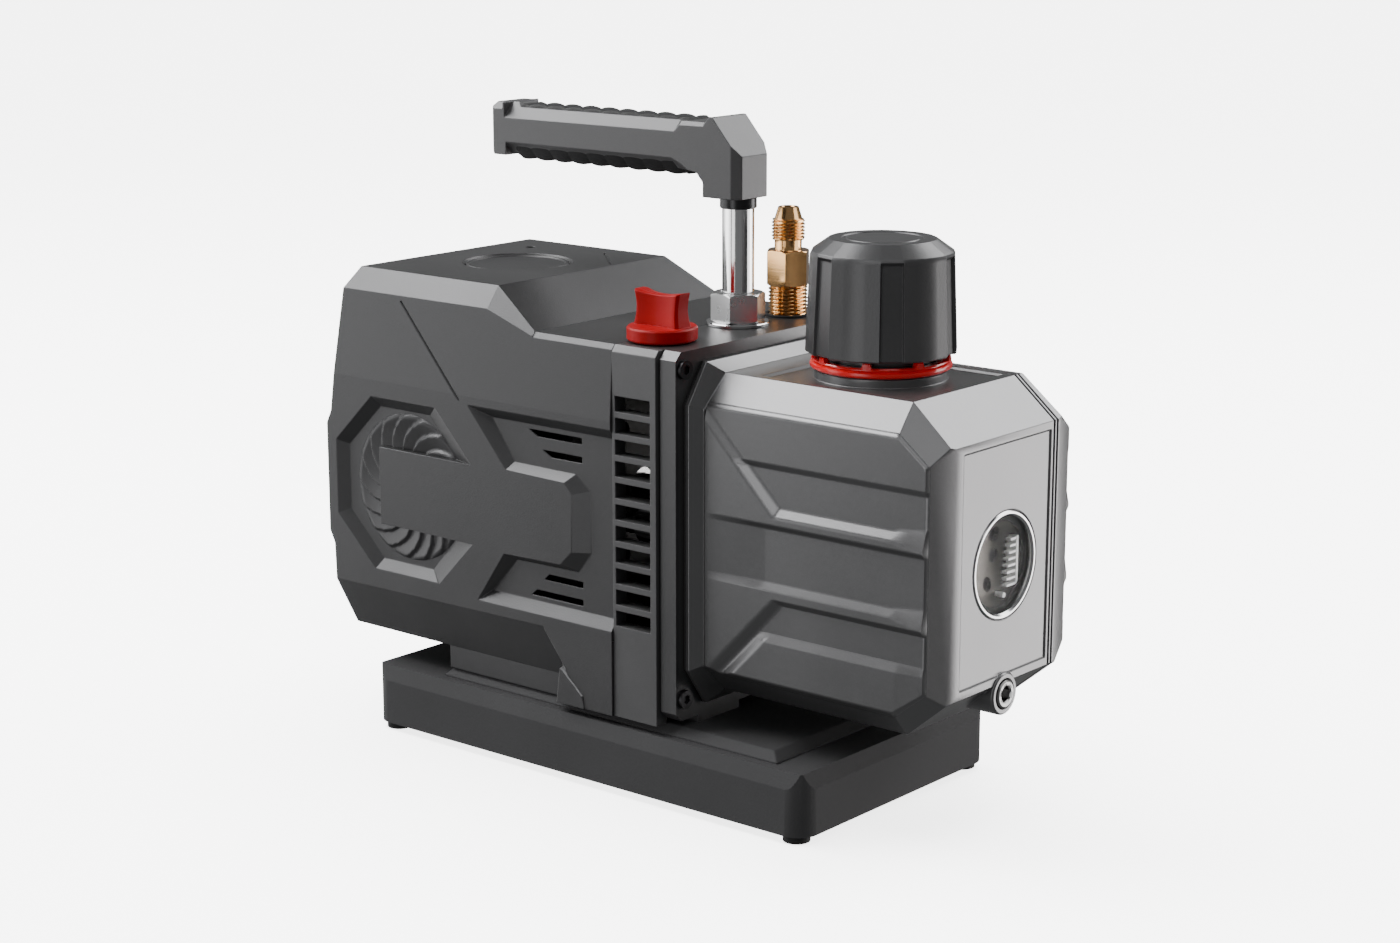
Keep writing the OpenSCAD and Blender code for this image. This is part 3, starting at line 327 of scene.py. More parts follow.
def skin(loops, lids=True, ring=True):
    """Faces through loops of equal length. Point j of loop i joins j + 1 and loop i + 1; flat lids close the ends,
    and ring closes each loop on itself."""
    grid = np.asarray(loops, float)
    rows, count = grid.shape[:2]
    i, j = np.meshgrid(np.arange(rows - 1), np.arange(count if ring else count - 1), indexing="ij")
    a, b = i * count + j, i * count + (j + 1) % count
    faces = np.stack([a, b, b + count, a + count], -1).reshape(-1, 4).tolist()
    if lids:
        faces += [list(range(count))[::-1], list(range((rows - 1) * count, rows * count))]
    return grid.reshape(-1, 3), faces


def torus_skin(loops):
    """Faces through loops where the last loop joins the first as well, as round a ring."""
    grid = np.asarray(loops, float)
    rows, count = grid.shape[:2]
    i, j = np.meshgrid(np.arange(rows), np.arange(count), indexing="ij")
    a, b = i * count + j, i * count + (j + 1) % count
    down = count * ((i + 1) % rows - i)
    return grid.reshape(-1, 3), np.stack([a, b, b + down, a + down], -1).reshape(-1, 4).tolist()


def loop_x(pts, x):
    """Loop of (y, z) points at one x."""
    p = np.asarray(pts, float)
    return np.stack([np.full(len(p), x), p[:, 0], p[:, 1]], -1)


def loop_y(pts, y):
    """Loop of (x, z) points at one y."""
    p = np.asarray(pts, float)
    return np.stack([p[:, 0], np.full(len(p), y), p[:, 1]], -1)


def loop_z(pts, z):
    """Loop of (x, y) points at one z."""
    p = np.asarray(pts, float)
    return np.stack([p[:, 0], p[:, 1], np.full(len(p), z)], -1)


def box_loop(a0, a1, b0, b1):
    return [(a0, b0), (a1, b0), (a1, b1), (a0, b1)]


def circle(radius, n=64, a=0.0, b=0.0, start=0.0):
    """n points on a circle about (a, b), the first at angle start in degrees."""
    t = np.radians(start) + np.arange(n) * 2 * np.pi / n
    return np.stack([a + radius * np.cos(t), b + radius * np.sin(t)], -1)


def flip_y(loops):
    return np.asarray(loops, float) * (1, -1, 1)


def keep_result(thing):
    """The mesh with its modifiers worked out becomes the object's own mesh."""
    graph = bpy.context.evaluated_depsgraph_get()
    mesh = bpy.data.meshes.new_from_object(thing.evaluated_get(graph))
    thing.modifiers.clear()
    thing.data = mesh


def combine(body, tools, how):
    """Cuts tools from body, joins them to it or keeps what they share. Each tool is a list of loops or an object."""
    made = [t if isinstance(t, bpy.types.Object) else solid("tool", *skin(t)) for t in tools]
    for t in made:
        m = body.modifiers.new("cut", "BOOLEAN")
        m.operation, m.solver, m.object = how, "EXACT", t
    keep_result(body)
    for t in made:
        bpy.data.objects.remove(t)
    return body


def cut(body, *tools):
    return combine(body, tools, "DIFFERENCE")


def join(body, *tools):
    return combine(body, tools, "UNION")


def both(*tools):
    """Each list of loops, and its mirror image on the other side of the pump."""
    return [t for loops in tools for t in (np.asarray(loops, float), flip_y(loops))]


def dress(piece, material, body="housing", stands_for=(), edge=0.0, smooth=30):
    """Last step of a piece: finish, soft edges, shading, its body and the CAD nodes that it stands for."""
    piece.data.materials.clear()
    piece.data.materials.append(material)
    mesh = piece.data
    mesh.polygons.foreach_set("use_smooth", [True] * len(mesh.polygons))
    mesh.set_sharp_from_angle(angle=math.radians(smooth))
    weld = piece.modifiers.new("weld", "WELD")
    weld.merge_threshold = 0.00001
    if edge:
        m = piece.modifiers.new("edge", "BEVEL")
        m.width, m.segments, m.limit_method = edge * MM, 2, "ANGLE"
        m.angle_limit = math.radians(24)
        m.use_clamp_overlap = m.loop_slide = False
        m.harden_normals = True
        m.miter_outer = "MITER_ARC"
    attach(piece, body)
    if stands_for:
        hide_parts(*stands_for)
    print(piece.name, len(mesh.vertices), "vertices,", len(mesh.polygons), "faces")
    return piece


# %% [markdown]
# ## The motor housing
# The housing is one big moulding: a block with leaning sides and chamfered top, an octagonal pocket round a fan
# motif, an arm that reaches forward over a sunken panel with slots, and a narrower skirt that meets the plinth.
# The block is what two prisms share, one drawn from the side and one from the end. Each pocket is a skin from a
# smaller floor loop to a larger rim loop, so its walls slope as a mould needs.

# %% Outline of the housing
sh_lo, sh_hi = span("motor_shroud")
X0, X1, TOP, FOOT = sh_lo[0], sh_hi[0], sh_hi[2], sh_lo[2]
DECK = span("support_casting")[1][2]
HALF = sh_hi[1]
WALL = 4.0
LEAN_FROM = 141.5


def side_outline(t):
    """Side view of the housing, drawn in by t."""
    return [(X0 + 8.1 + t, 39 + t), (X0 + 3 + t, 57), (X0 + 2.5 + t, 72), (X0 + t, 77), (X0 + t, 121),
            (X0 + 2.5 + t, 126), (X0 + 9.9 + t, TOP - 8), (X0 + 12.9 + t, TOP - t), (X0 + 87.3 - t / 2, TOP - t),
            (X0 + 111.5 - t / 2, DECK - t), (X1 + 0.01 + t, DECK - t), (X1 + 0.01 + t, FOOT), (X0 + 60.5 + t, FOOT),
            (X0 + 60.5 + t, 39 + t)]


def end_outline(t):
    """End view of the housing, drawn in by t."""
    half = [(HALF - 6 - t, FOOT - 1), (HALF - 6 - t, 39), (HALF - t, 57.5), (HALF - t, LEAN_FROM),
            (HALF - 1.8 - t, TOP - 8), (HALF - 9 - t, TOP)]
    return half + [(-y, z) for y, z in half[::-1]]


def block(t, x_end):
    body = solid("block", *skin([loop_y(side_outline(t), -90), loop_y(side_outline(t), 90)]))
    return combine(body, [[loop_x(end_outline(t), X0 - 9), loop_x(end_outline(t), x_end)]], "INTERSECT")


housing = block(0, X1)
housing.name = housing.data.name = "housing_shell"

# columns beside the flange reach down to the plinth and flare out at their foot
column = [(-17.3, 59), (X1, 59), (X1, FOOT), (1.0, FOOT), (-5.4, 44.3)]
column_root = [(-23.5, 57.5), (X1, 57.5), (X1, FOOT), (-13, FOOT), (-13, 43)]
flare = [(-7.6, 44), (3.2, 34.6), (4.6, FOOT), (-9.5, FOOT)]
flare_root = [(-12, 43), (6, 40), (6, FOOT), (-15, FOOT)]
join(housing, *both([loop_y(column_root, HALF - 6.6), loop_y(column, HALF)],
                    [loop_y(flare_root, HALF - 6.3), loop_y(flare, HALF + 0.6)]))

# chamfers: along the slope from the high top to the deck, and along the deck itself
slope_a, slope_b = np.array((X0 + 87.3, HALF - 9, TOP)), np.array((X0 + 88, HALF - 1.8, TOP - 8))
slope_n = np.cross(slope_b - slope_a, np.array((X0 + 111.5, HALF - 3, DECK)) - slope_a)


def slope_loop(x):
    """Section at x of the space beyond the sloping chamfer's plane."""
    y = [slope_a[1] - (slope_n[0] * (x - slope_a[0]) + slope_n[2] * (z - slope_a[2])) / slope_n[1]
         for z in (145, 200)]
    return loop_x([(y[0], 145), (y[1], 200), (120, 200), (120, 145)], x)


deck_cut = [(HALF + 1, DECK - 5), (HALF - 5, DECK + 2.5), (90, DECK + 2.5), (90, DECK - 5)]
cut(housing, *both([slope_loop(X0 + 80), slope_loop(X0 + 111.5)],
                   [loop_x(deck_cut, X0 + 111.4), loop_x(deck_cut, X1 + 1)]))
print("housing block has", len(housing.data.polygons), "faces")

# %% Pockets, arm and slots on both sides
DEEP = HALF - 3.2
octagon_rim = np.array([(-106.6, 134.8), (-72, 134.8), (-51.2, 114.4), (-51.2, 85.4), (-71.8, 65.3), (-106.6, 65.3),
                        (-127.2, 84.8), (-127.2, 114.9)])
middle = octagon_rim.mean(0)
octagon_floor = middle + (octagon_rim - middle) * (1 - 4.2 / 36)
octagon_floor[[1, 2, 3, 4], 0] -= (3.2, 5.6, 5.6, 3.2)
rim = [(-54.3, 138.3), (X1 + 4, 138.3), (X1 + 4, 62.4), (-50.5, 62.4), (-36.2, 83.1), (-7.4, 83.7), (-1.6, 89.5),
       (-1.3, 111.4), (-5, 115.4), (-34.6, 116)]
floor = [(-44, 134.6), (X1 + 4, 134.6), (X1 + 4, 66.8), (-45.4, 66.8), (-32, 81.1), (-0.7, 81.5), (5.6, 89.6),
         (5.2, 113.2), (-1.8, 118.6), (-32.7, 118.9)]
arm_in_octagon = box_loop(-103, -40, 84.2, 115.2)
octagon_tools = both([loop_y(octagon_floor, DEEP), loop_y(octagon_rim, HALF), loop_y(octagon_rim, HALF + 9)])
for k, loops in enumerate(octagon_tools):
    tool = solid("tool", *skin(loops))
    side = 1 if k % 2 == 0 else -1
    cut(tool, [loop_y(arm_in_octagon, side * 40), loop_y(arm_in_octagon, side * 80)])
    cut(housing, tool)
cut(housing, *both([loop_y(floor, DEEP), loop_y(rim, HALF), loop_y(rim, HALF + 9)]))

slots = [[(x0, z0), (1.2, z0), (1.2, z0 - 2.3), (x1, z0 - 2.3)]
         for x0, x1, z0 in ((-25.1, -20.7, 132.5), (-18.3, -13.9, 125.4), (-15.9, -18.3, 77.8), (-22.1, -24.8, 70.9))]
groove_a, groove_b = np.array((-90.4, HALF - 1.8, 173.8)), np.array((-58.6, HALF - 0.05, 139.5))
lean = np.array((1.0, 0, 0.92)) / 1.36
groove = [[p + lean * w + (0, d, 0) for w, d in ((-0.75, 0.6), (0, -0.65), (0.75, 0.6))] for p in (groove_a, groove_b)]
top_groove = [[(x + dx, y + dy, z) for dx, dy, z in ((-0.3, -0.3, TOP - 0.65), (0.3, 0.3, TOP - 0.65),
                                                   (0.35, 0.35, TOP + 1), (-0.35, -0.35, TOP + 1))]
              for x, y in ((-68.9, 38.2), (-46.9, 17))]
cut(housing, *both(*[[loop_y(s, 30), loop_y(s, 80)] for s in slots]))
cut(housing, flip_y(groove), top_groove)

# %% Hollow inside, the seat on top, the hole beside it and the openings at the back
seat_x, seat_y = X0 + 52, -0.5
cut(housing, block(WALL, X1 + WALL))
rear = [[loop_x(circle(r, 48, a, b), X0 - 3), loop_x(circle(r, 48, a, b), X0 + d)]
        for r, a, b, d in ((36, 0, 101.3, 9), (3.7, -40, 62, 3.6), (3.7, 40, 62, 3.6), (3.7, -40, 138, 8.6),
                           (3.7, 40, 138, 8.6))]
cut(housing, *rear,
    [loop_z(circle(20.6, 72, seat_x, seat_y), TOP - 2.2), loop_z(circle(21.9, 72, seat_x, seat_y), TOP),
     loop_z(circle(21.9, 72, seat_x, seat_y), TOP + 3)],
    [loop_z(circle(2, 24, X0 + 29.4, 31), TOP - 9), loop_z(circle(2, 24, X0 + 29.4, 31), TOP + 9)])
mains_lo, mains_hi = span("power_inlet")
switch_lo, switch_hi = span("switch_frame")
for lo, hi in ((mains_lo, mains_hi), (switch_lo, switch_hi)):
    seat = box_loop(lo[0] - 0.2, hi[0] + 0.2, lo[2] - 0.2, hi[2] + 0.2)
    hole = box_loop(lo[0] + 2.2, hi[0] - 2.2, lo[2] + 2.4, hi[2] - 2.4)
    cut(housing, [loop_y(seat, HALF - 1.8), loop_y(seat, HALF + 9)], [loop_y(hole, 30), loop_y(hole, HALF + 9)])
print("housing now has", len(housing.data.polygons), "faces")

# %% Finish of the housing
housing_grey = moulded("housing_grey", rgb("484849"), rgb("525253"), roughness=0.42, metallic=0.65)
dress(housing, housing_grey, stands_for=("motor_shroud",), edge=0.28, smooth=12)
ends = np.empty(len(housing.data.edges) * 2, int)
housing.data.edges.foreach_get("vertices", ends)
spots = np.empty(len(housing.data.vertices) * 3)
housing.data.vertices.foreach_get("co", spots)
height = (spots.reshape(-1, 3)[ends.reshape(-1, 2), 2]) / MM
on_crease = (np.abs(height - LEAN_FROM) < 0.05).all(1)
for k in np.flatnonzero(on_crease):
    housing.data.edges[k].use_edge_sharp = True
print("crease edges", int(on_crease.sum()))

# %% [markdown]
# ## The oil tank
# The tank is a pressure casting: an octagon seen from the end, with the front edges and corners cut away, a bevelled
# step down from its flange, and ribs and sunken panels on the sides. The body is what three prisms share, less four
# corners. The ribbed side is a height field, one height for each place on a grid: sums of ramps say how deep each
# place lies, and the smallest of the casting's own planes trims the edge so that it meets the body without a step.

# %% Body of the tank
tk_lo, tk_hi = span("oil_tank")
TX, FX, TH = tk_lo[0], tk_hi[0], 46.1
AXIS, RISE = 101.3, 59.3
TT, TB = AXIS + RISE, AXIS - RISE
end = [(TH, TB + 11.8), (TH, TT - 11.8), (TH - 12.5, TT), (12.5 - TH, TT), (-TH, TT - 11.8), (-TH, TB + 11.8),
       (12.5 - TH, TB), (TH - 12.5, TB)]
flange = [(TH + 4.1, TB + 10.1), (TH + 4.1, TT - 10.1), (TH - 5.9, TT + 4.4), (5.9 - TH, TT + 4.4),
          (-TH - 4.1, TT - 10.1), (-TH - 4.1, TB + 10.1), (5.9 - TH, TB - 4.4), (TH - 5.9, TB - 4.4)]
side_view = [(TX, TB), (FX - 17.1, TB), (FX, TB + 14.3), (FX, TT - 14.3), (FX - 17.1, TT), (TX, TT)]
top_view = [(TX, -TH), (FX - 3.8, -TH), (FX, 13.9 - TH), (FX, TH - 13.9), (FX - 3.8, TH), (TX, TH)]
tank = solid("tank_shell", *skin([loop_x(end, TX), loop_x(end, FX)]))
combine(tank, [[loop_y(side_view, -90), loop_y(side_view, 90)]], "INTERSECT")
combine(tank, [[loop_z(top_view, 0), loop_z(top_view, 300)]], "INTERSECT")


def plane(a, b, c, out):
    """Unit normal and distance of the plane through three points, its normal on the side of out."""
    a, b, c = (np.asarray(p, float) for p in (a, b, c))
    n = np.cross(b - a, c - a)
    n /= np.linalg.norm(n)
    n = n if n @ np.asarray(out, float) > 0 else -n
    return n, float(n @ a)


def beyond(n, d, size=150.0):
    """Two square loops that fill the space beyond a plane."""
    u = np.cross(n, (0, 0, 1.0) if abs(n[2]) < 0.9 else (1.0, 0, 0))
    u /= np.linalg.norm(u)
    v = np.cross(n, u)
    foot = n * d + (np.array((FX, 0, AXIS)) - n * (n @ np.array((FX, 0, AXIS))))
    square = np.array([foot + size * (i * u + j * v) for i, j in ((-1, -1), (1, -1), (1, 1), (-1, 1))])
    return [square, square + n * size]


corners = [plane((FX - 17.1, s * (TH - 12.5), AXIS + m * RISE), (FX - 3.8, s * TH, AXIS + m * (RISE - 20.8)),
                 (FX - 15.3, s * TH, AXIS + m * (RISE - 11.8)), (1, s, m)) for s in (-1, 1) for m in (-1, 1)]
cut(tank, *[beyond(n, d) for n, d in corners])
body_end = [(y * (1 - 0.4 / TH), AXIS + (z - AXIS) * (1 - 0.4 / RISE)) for y, z in end]
join(tank, [loop_x(flange, TX), loop_x(flange, TX + 1.6), loop_x(body_end, TX + 5.5)])
print("tank body has", len(tank.data.polygons), "faces")

# %% Bosses, front panel, edge grooves and bores
cap_lo, cap_hi = span("exhaust_cap")
CX = (cap_lo[0] + cap_hi[0]) / 2
drain_lo, drain_hi = span("drain_plug")
DZ = (drain_lo[2] + drain_hi[2]) / 2
glass_lo, glass_hi = span("sight_glass")
SZ = (glass_lo[2] + glass_hi[2]) / 2


def offset_path(pts, d):
    """Path moved sideways by d with mitred corners: each corner moves along the mean of its two normals."""
    p = np.asarray(pts, float)
    step = np.diff(p, axis=0)
    n = np.stack([-step[:, 1], step[:, 0]], -1) / np.linalg.norm(step, axis=1)[:, None]
    first, last = np.vstack([n[:1], n]), np.vstack([n, n[-1:]])
    return p + d * (first + last) / (1 + (first * last).sum(1))[:, None]


edge_path = [(TX + 9, TT), *side_view[4:2:-1], *side_view[2:0:-1], (TX + 9, TB)]
groove_form = np.vstack([offset_path(edge_path, 1.0), offset_path(edge_path, -0.8)[::-1]])
panel_rim, panel_floor = box_loop(-27.6, 27.1, 59.0, 143.6), box_loop(-26.8, 26.3, 59.8, 142.8)
lid_rim = [(66, -30), (FX - 21, -30), (FX - 21, 27.5), (66, 27.5)]
lid_floor = [(68, -28.6), (FX - 22, -28.6), (FX - 22, 26.3), (68, 26.3)]
cut(tank, [loop_x(panel_floor, FX - 0.55), loop_x(panel_rim, FX), loop_x(panel_rim, FX + 2)],
    [loop_z(lid_floor, TT - 0.9), loop_z(lid_rim, TT), loop_z(lid_rim, TT + 2)],
    *[[loop_y(groove_form, y - w), loop_y(groove_form, y + w)] for y, w in ((28.9, 0.45), (30.9, 0.45))])
join(tank, [loop_z(circle(24, 96, CX), TT - 3), loop_z(circle(24, 96, CX), TT + 2.0),
            loop_z(circle(23.3, 96, CX), TT + 2.7)],
     [loop_z(circle(20, 64, CX), TT - 3), loop_z(circle(20, 64, CX), TT + 14.3), loop_z(circle(19.3, 64, CX), TT + 15)],
     [loop_x(circle(7.75, 64, 0, DZ), FX - 26), loop_x(circle(7.75, 64, 0, DZ), FX - 1.2),
      loop_x(circle(7.75, 64, 0, DZ), FX + 0.3), loop_x(circle(7.2, 64, 0, DZ), FX + 0.9)])
inner_end = [(y * (1 - 6 / TH), AXIS + (z - AXIS) * (1 - 6 / RISE)) for y, z in end]
cut(tank, [loop_x(inner_end, TX - 1), loop_x(inner_end, FX - 18), loop_x(np.array(inner_end) * (0.8, 0.8)
                                                                        + (0, 0.2 * AXIS), FX - 7)])
cut(tank, [loop_x(circle(r, 64, 0, SZ), FX - d) for r, d in ((17.6, 20), (17.6, 4.2), (19.55, 4.2), (19.55, 1.0),
                                                             (20.3, 0.2), (20.3, -3))],
    [loop_x(circle(r, 48, 0, DZ), FX - d) for r, d in ((3, 20), (3, 14), (5.1, 14), (5.1, -0.1), (5.9, -1.2),
                                                        (5.9, -3))],
    [loop_z(circle(16.5, 64, CX), TT - 9), loop_z(circle(16.5, 64, CX), TT + 20)],
    *[[loop_x(circle(2.05, 20, a, b), TX - 1), loop_x(circle(2.05, 20, a, b), TX + 5.3)] for a, b in
      [(s * (TH - 2.9), AXIS + m * 25) for s in (-1, 1) for m in (-1, 1)]
      + [(s * 28, AXIS + m * (RISE - 3.1)) for s in (-1, 1) for m in (-1, 1)]])

# %% Ribbed sides of the tank
SLAB = TH - 2.8
side_x0 = TX + 5.6
for s in (-1, 1):
    box = box_loop(side_x0, FX + 9, 0, 300)
    cut(tank, [loop_y(box, s * SLAB), loop_y(box, s * 90)])


def ramp(t):
    return np.clip(t, 0, 1)


def rib_depth(x, z):
    """How far each place of the side lies below its skin. A ramp falls from 0 to 1 across each sloping wall; the
    smaller of two ramps mitres them, and knots that move with x spread the ledges towards the front."""
    spread = ramp((x - 135.5) / 12.5)
    upper_diag = ramp(((x - 50.9) * 0.702 + (z - 147.2) * 0.713) / 3.3)
    below = (x - 53.0) * 0.72 - (z - 51.6) * 0.693
    lower_diag = ramp(below / 3.3)
    fade = ramp((x - 54) / 26)
    low1, high1 = 114.2 - 2.4 * spread, 117.6 + 1.6 * spread
    low2, high2 = 87.2 - 2.2 * spread, 90.0 + 1.5 * spread
    upper = np.minimum(upper_diag, ramp((z - low1) / (high1 - low1)))
    upper_depth = 2.3 - 1.0 * ramp((z - 131.2) / 1.8)
    middle = np.minimum(ramp((111.4 - z) / 1.7), ramp((z - low2) / (high2 - low2))) * fade
    lower = np.minimum(ramp((84.4 - z) / 2.4), lower_diag)
    step3 = ramp((71.2 - z) / 3.0) * ramp((below - 4.5) / 3.5) * (1 - 0.6 * ramp((x - 138) / 9))
    return upper * upper_depth + 1.5 * middle + lower * (2.1 - 1.5 * step3)


trims = [plane((0, TH, TT - 11.8), (0, TH - 12.5, TT), (9, TH, TT - 11.8), (0, 1, 1)),
         plane((0, TH, TB + 11.8), (0, TH - 12.5, TB), (9, TH, TB + 11.8), (0, 1, -1)),
         plane((FX - 3.8, TH, 0), (FX, TH - 13.9, 0), (FX - 3.8, TH, 9), (1, 1, 0))]
trims += [c for c in corners if c[0][1] > 0]
top_z = TT - 11.8 + (TH - SLAB) * 11.8 / 12.5
knots = (111.4, 109.7, 114.2, 117.6, 131.2, 133.0, 87.2, 90.0, 84.4, 82.0, 71.2, 68.2, TT - 11.8, TB + 11.8)
rows = np.unique(np.concatenate([np.linspace(2 * AXIS - top_z, top_z, 141), knots]))
limit = np.min([(d - n[1] * SLAB - n[2] * rows) / n[0] for n, d in trims if n[0] > 0.1], axis=0)
share = np.linspace(0, 1, 137)
gx = side_x0 + (limit[:, None] - side_x0) * share
gz = np.broadcast_to(rows[:, None], gx.shape)
hull = np.min([(d - n[0] * gx - n[2] * gz) / n[1] for n, d in trims], axis=0)
gy = np.maximum(np.minimum(hull, TH - rib_depth(gx, gz)), SLAB)
outer = np.stack([gx, gy, gz], -1)
inner = outer[:, [0, -1]] * (1, 0, 1) + (0, SLAB - 0.02, 0)
ringed = np.concatenate([inner[:, :1], outer, inner[:, 1:]], axis=1)
sides = [solid(name, *skin(ringed if s > 0 else flip_y(ringed))) for name, s in
         (("tank_side_near", -1), ("tank_side_far", 1))]
tank_grey = painted("tank_grey", rgb("666667"), rgb("727273"), metallic=0.78, roughness=0.33)
dress(tank, tank_grey, stands_for=("oil_tank",), edge=0.28)
for thing in sides:
    dress(thing, tank_grey, smooth=50)

# %% [markdown]
# ## Fan motif in the octagon
# Inside the octagonal pocket a round motif of curved blades rises from the floor. It is a height field on polar
# coordinates: along each ring the height climbs over one blade and drops at the next, and the start of a blade turns
# with the radius, which bends it.

# %% Fan motif
FAN_X, FAN_Z, BLADES = -88.5, 100.5, 17
rings, steps = 26, BLADES * 16
r = np.linspace(13.0, 29.5, rings)[:, None]
t = np.linspace(0, 2 * np.pi, steps, endpoint=False)[None, :]
sweep = 0.55 * ((r - 13) / 16) ** 1.5
phase = ((t + sweep) * BLADES / (2 * np.pi)) % 1
climb = np.where(phase < 0.88, phase / 0.88, (1 - phase) / 0.12)
envelope = ramp((29.0 - r) / 1.6) * ramp((r - 13) / 3)
rise = 0.15 + 1.25 * climb * envelope ** 0.6
shape = np.stack([FAN_X + r * np.cos(t), (DEEP + rise), FAN_Z + r * np.sin(t)], -1)
shape[-1, :, 1] = shape[0, :, 1] = DEEP - 0.5
fans = [solid(name, *skin(shape if s > 0 else flip_y(shape))) for name, s in (("fan_motif_near", -1),
                                                                           ("fan_motif_far", 1))]
for thing, s in zip(fans, (-1, 1)):
    cut(thing, [loop_y(arm_in_octagon, s * 40), loop_y(arm_in_octagon, s * 80)])
    dress(thing, housing_grey, smooth=40)

# %% [markdown]
# ## Turned parts: sight window, drain plug and seat disc
# Rings, glass, plugs and posts are turned on a lathe: a profile of radii and heights carried round an axis. The
# radius may also change with the angle, which gives hexagons, facets, tabs and threads from the same grid. A hexagon
# is the distance of a straight side, its apothem divided by the cosine of the angle from the middle of that side.

# %% Surfaces turned about an axis
def spun(r, h, centre, axis="z", turn=0.0, n=96, closed=False, angles=None):
    """Points and faces of a turned surface. Row i has radius r[i] (one number, or one for each angle) and height
    h[i]; closed joins the last row to the first, for rings."""
    t = np.radians(turn) + (np.arange(n) * 2 * np.pi / n if angles is None else np.radians(angles))
    r, h = (np.stack([np.broadcast_to(v, len(t)) for v in w]).astype(float) for w in (r, h))
    a, b = centre[0] + r * np.cos(t), centre[1] + r * np.sin(t)
    loops = np.stack([h, a, b] if axis == "x" else [a, b, h], -1)
    return torus_skin(loops) if closed else skin(loops)


def hexagon(apothem, n=96):
    """Radius of a hexagon with a corner at angle 0, at n angles."""
    side = (np.arange(n) * 360 / n) % 60 - 30
    return apothem / np.cos(np.radians(side))


ring = solid("sight_ring_turned", *spun(*zip((17.5, FX - 3), (19.4, FX - 3), (19.4, FX - 0.75), (19.0, FX - 0.3),
                                            (18.3, FX - 0.3), (17.5, FX - 1.1)), (0, SZ), "x", closed=True))
bright_steel = machined("bright_steel", rgb("a9a9aa"), rgb("d6d6d6"), 0.2, (40, 1, 1), 60)
dress(ring, bright_steel, stands_for=("sight_ring",))

glass = Finish("sight_glass_clear")
smear = glass.noise(60, 3)
glass.feed(Base_Color=glass.blend(smear, (0.5, 0.52, 0.5, 1), (0.62, 0.63, 0.6, 1)), Roughness=smear * 0.06 + 0.02,
           Alpha=smear * 0.04 + 0.02, Specular_IOR_Level=0.4, Coat_Weight=0.1, Coat_Roughness=0.03)
pane = solid("sight_pane", *spun(*zip((17.35, FX - 2.9), (17.35, FX - 1.2), (17.0, FX - 0.95), (12, FX - 0.8),
                                      (6, FX - 0.75), (0.6, FX - 0.74)), (0, SZ), "x"))
dress(pane, glass.material, stands_for=("sight_glass",), smooth=50)

dish = solid("baffle_dish", *spun(*zip((17.3, FX - 10), (17.3, FX - 4.6), (16.6, FX - 4.9), (14.5, FX - 6.6),
                                       (11, FX - 8.0), (6, FX - 8.8), (0.6, FX - 9.0)), (0, SZ), "x"))
hole_at = np.array(((4.1, 9.2), (5.0, 1.2), (0.8, -8.6)))
holes = [[loop_x(circle(2.6, 24, y, SZ + z), FX - 9.7), loop_x(circle(2.6, 24, y, SZ + z), FX - 3)] for y, z in hole_at]
cut(dish, *holes)
dished = machined("dished_steel", rgb("2e2c2a"), rgb("86827d"), 0.42, (1, 6, 6), 40, 0.00004)
dress(dish, dished, stands_for=("oil_baffle",))
# The walls and floors of the three blind pockets take a near-black finish: painted shade, so that they read as dark
# holes through the dish.
dish.data.materials.append(moulded("oil_dark", rgb("0e0d0c"), rgb("191816"), 0.4))
middles = np.empty(len(dish.data.polygons) * 3)
dish.data.polygons.foreach_get("center", middles)
middles = (middles.reshape(-1, 3) - MID) / MM
near_hole = np.hypot(middles[:, None, 1] - hole_at[:, 0], middles[:, None, 2] - SZ - hole_at[:, 1]).min(1) < 2.62
dish.data.polygons.foreach_set("material_index", (near_hole & (middles[:, 0] > FX - 9.9)).astype(int))
print("faces inside the three holes", int(near_hole.sum()))
teeth = [[loop_x(box_loop(y0, 12.6, SZ + z, SZ + z + 0.9), x) for x in (FX - 6.0, FX - 3.6)]
         for y0, z in zip((8.2, 7.8, 7.3, 7.0, 6.6, 6.3, 6.1, 6.2), np.linspace(6.6, -10.0, 8))]
comb = solid("level_comb", *skin([loop_x(box_loop(11.6, 13.0, SZ - 10.0, SZ + 7.8), x) for x in (FX - 8.2, FX - 3.5)]))
join(comb, *teeth)
join(comb, [loop_x(circle(1.0, 20, 5.0, SZ - 12.6), x) for x in (FX - 9.0, FX - 3.8)])
enamel = moulded("white_enamel", rgb("f2f2f0"), rgb("fafaf9"), 0.3)
dress(comb, enamel, edge=0.15)

hex_in = hexagon(2.6)
plug = solid("drain_plug_turned", *spun(*zip((hex_in, FX - 2.2), (hex_in, FX + 1.1), (hexagon(2.6) * 0 + 3.3, FX + 1.5),
                                             (4.5, FX + 1.58), (5.1, FX + 1.1), (5.1, FX + 0.3), (4.9, FX + 0.2),
                                             (4.9, FX - 12)), (0, DZ), "x", turn=14))
dark_zinc = machined("dark_zinc", rgb("6e6e6e"), rgb("9c9c9c"), 0.3, (30, 1, 1), 80)
dress(plug, dark_zinc, "drain_plug", ("drain_plug",))

disc_lo, disc_hi = span("top_disc")
disc = solid("seat_disc", *spun(*zip((20.4, disc_lo[2]), (20.4, disc_hi[2] - 0.4), (20.0, disc_hi[2]),
                                     (19.2, disc_hi[2]), (18.6, disc_hi[2] - 0.5), (16, disc_hi[2] - 0.8),
                                     (8, disc_hi[2] - 0.95), (0.8, disc_hi[2] - 1.0)), (seat_x, seat_y)))
dress(disc, moulded("disc_black", rgb("2a2a2b"), rgb("343435"), 0.42), stands_for=("top_disc",))

# %% [markdown]
# ## Exhaust cap and its red ring
# The cap is a moulded cup with six broad ribs. Each rib is two flat facets that meet softly in its middle, and
# between ribs lies a flat that steps in by about a millimetre. Seen as a radius over the angle, a facet is a chord:
# its radius times the cosine of half its angle, over the cosine of the angle from its middle.

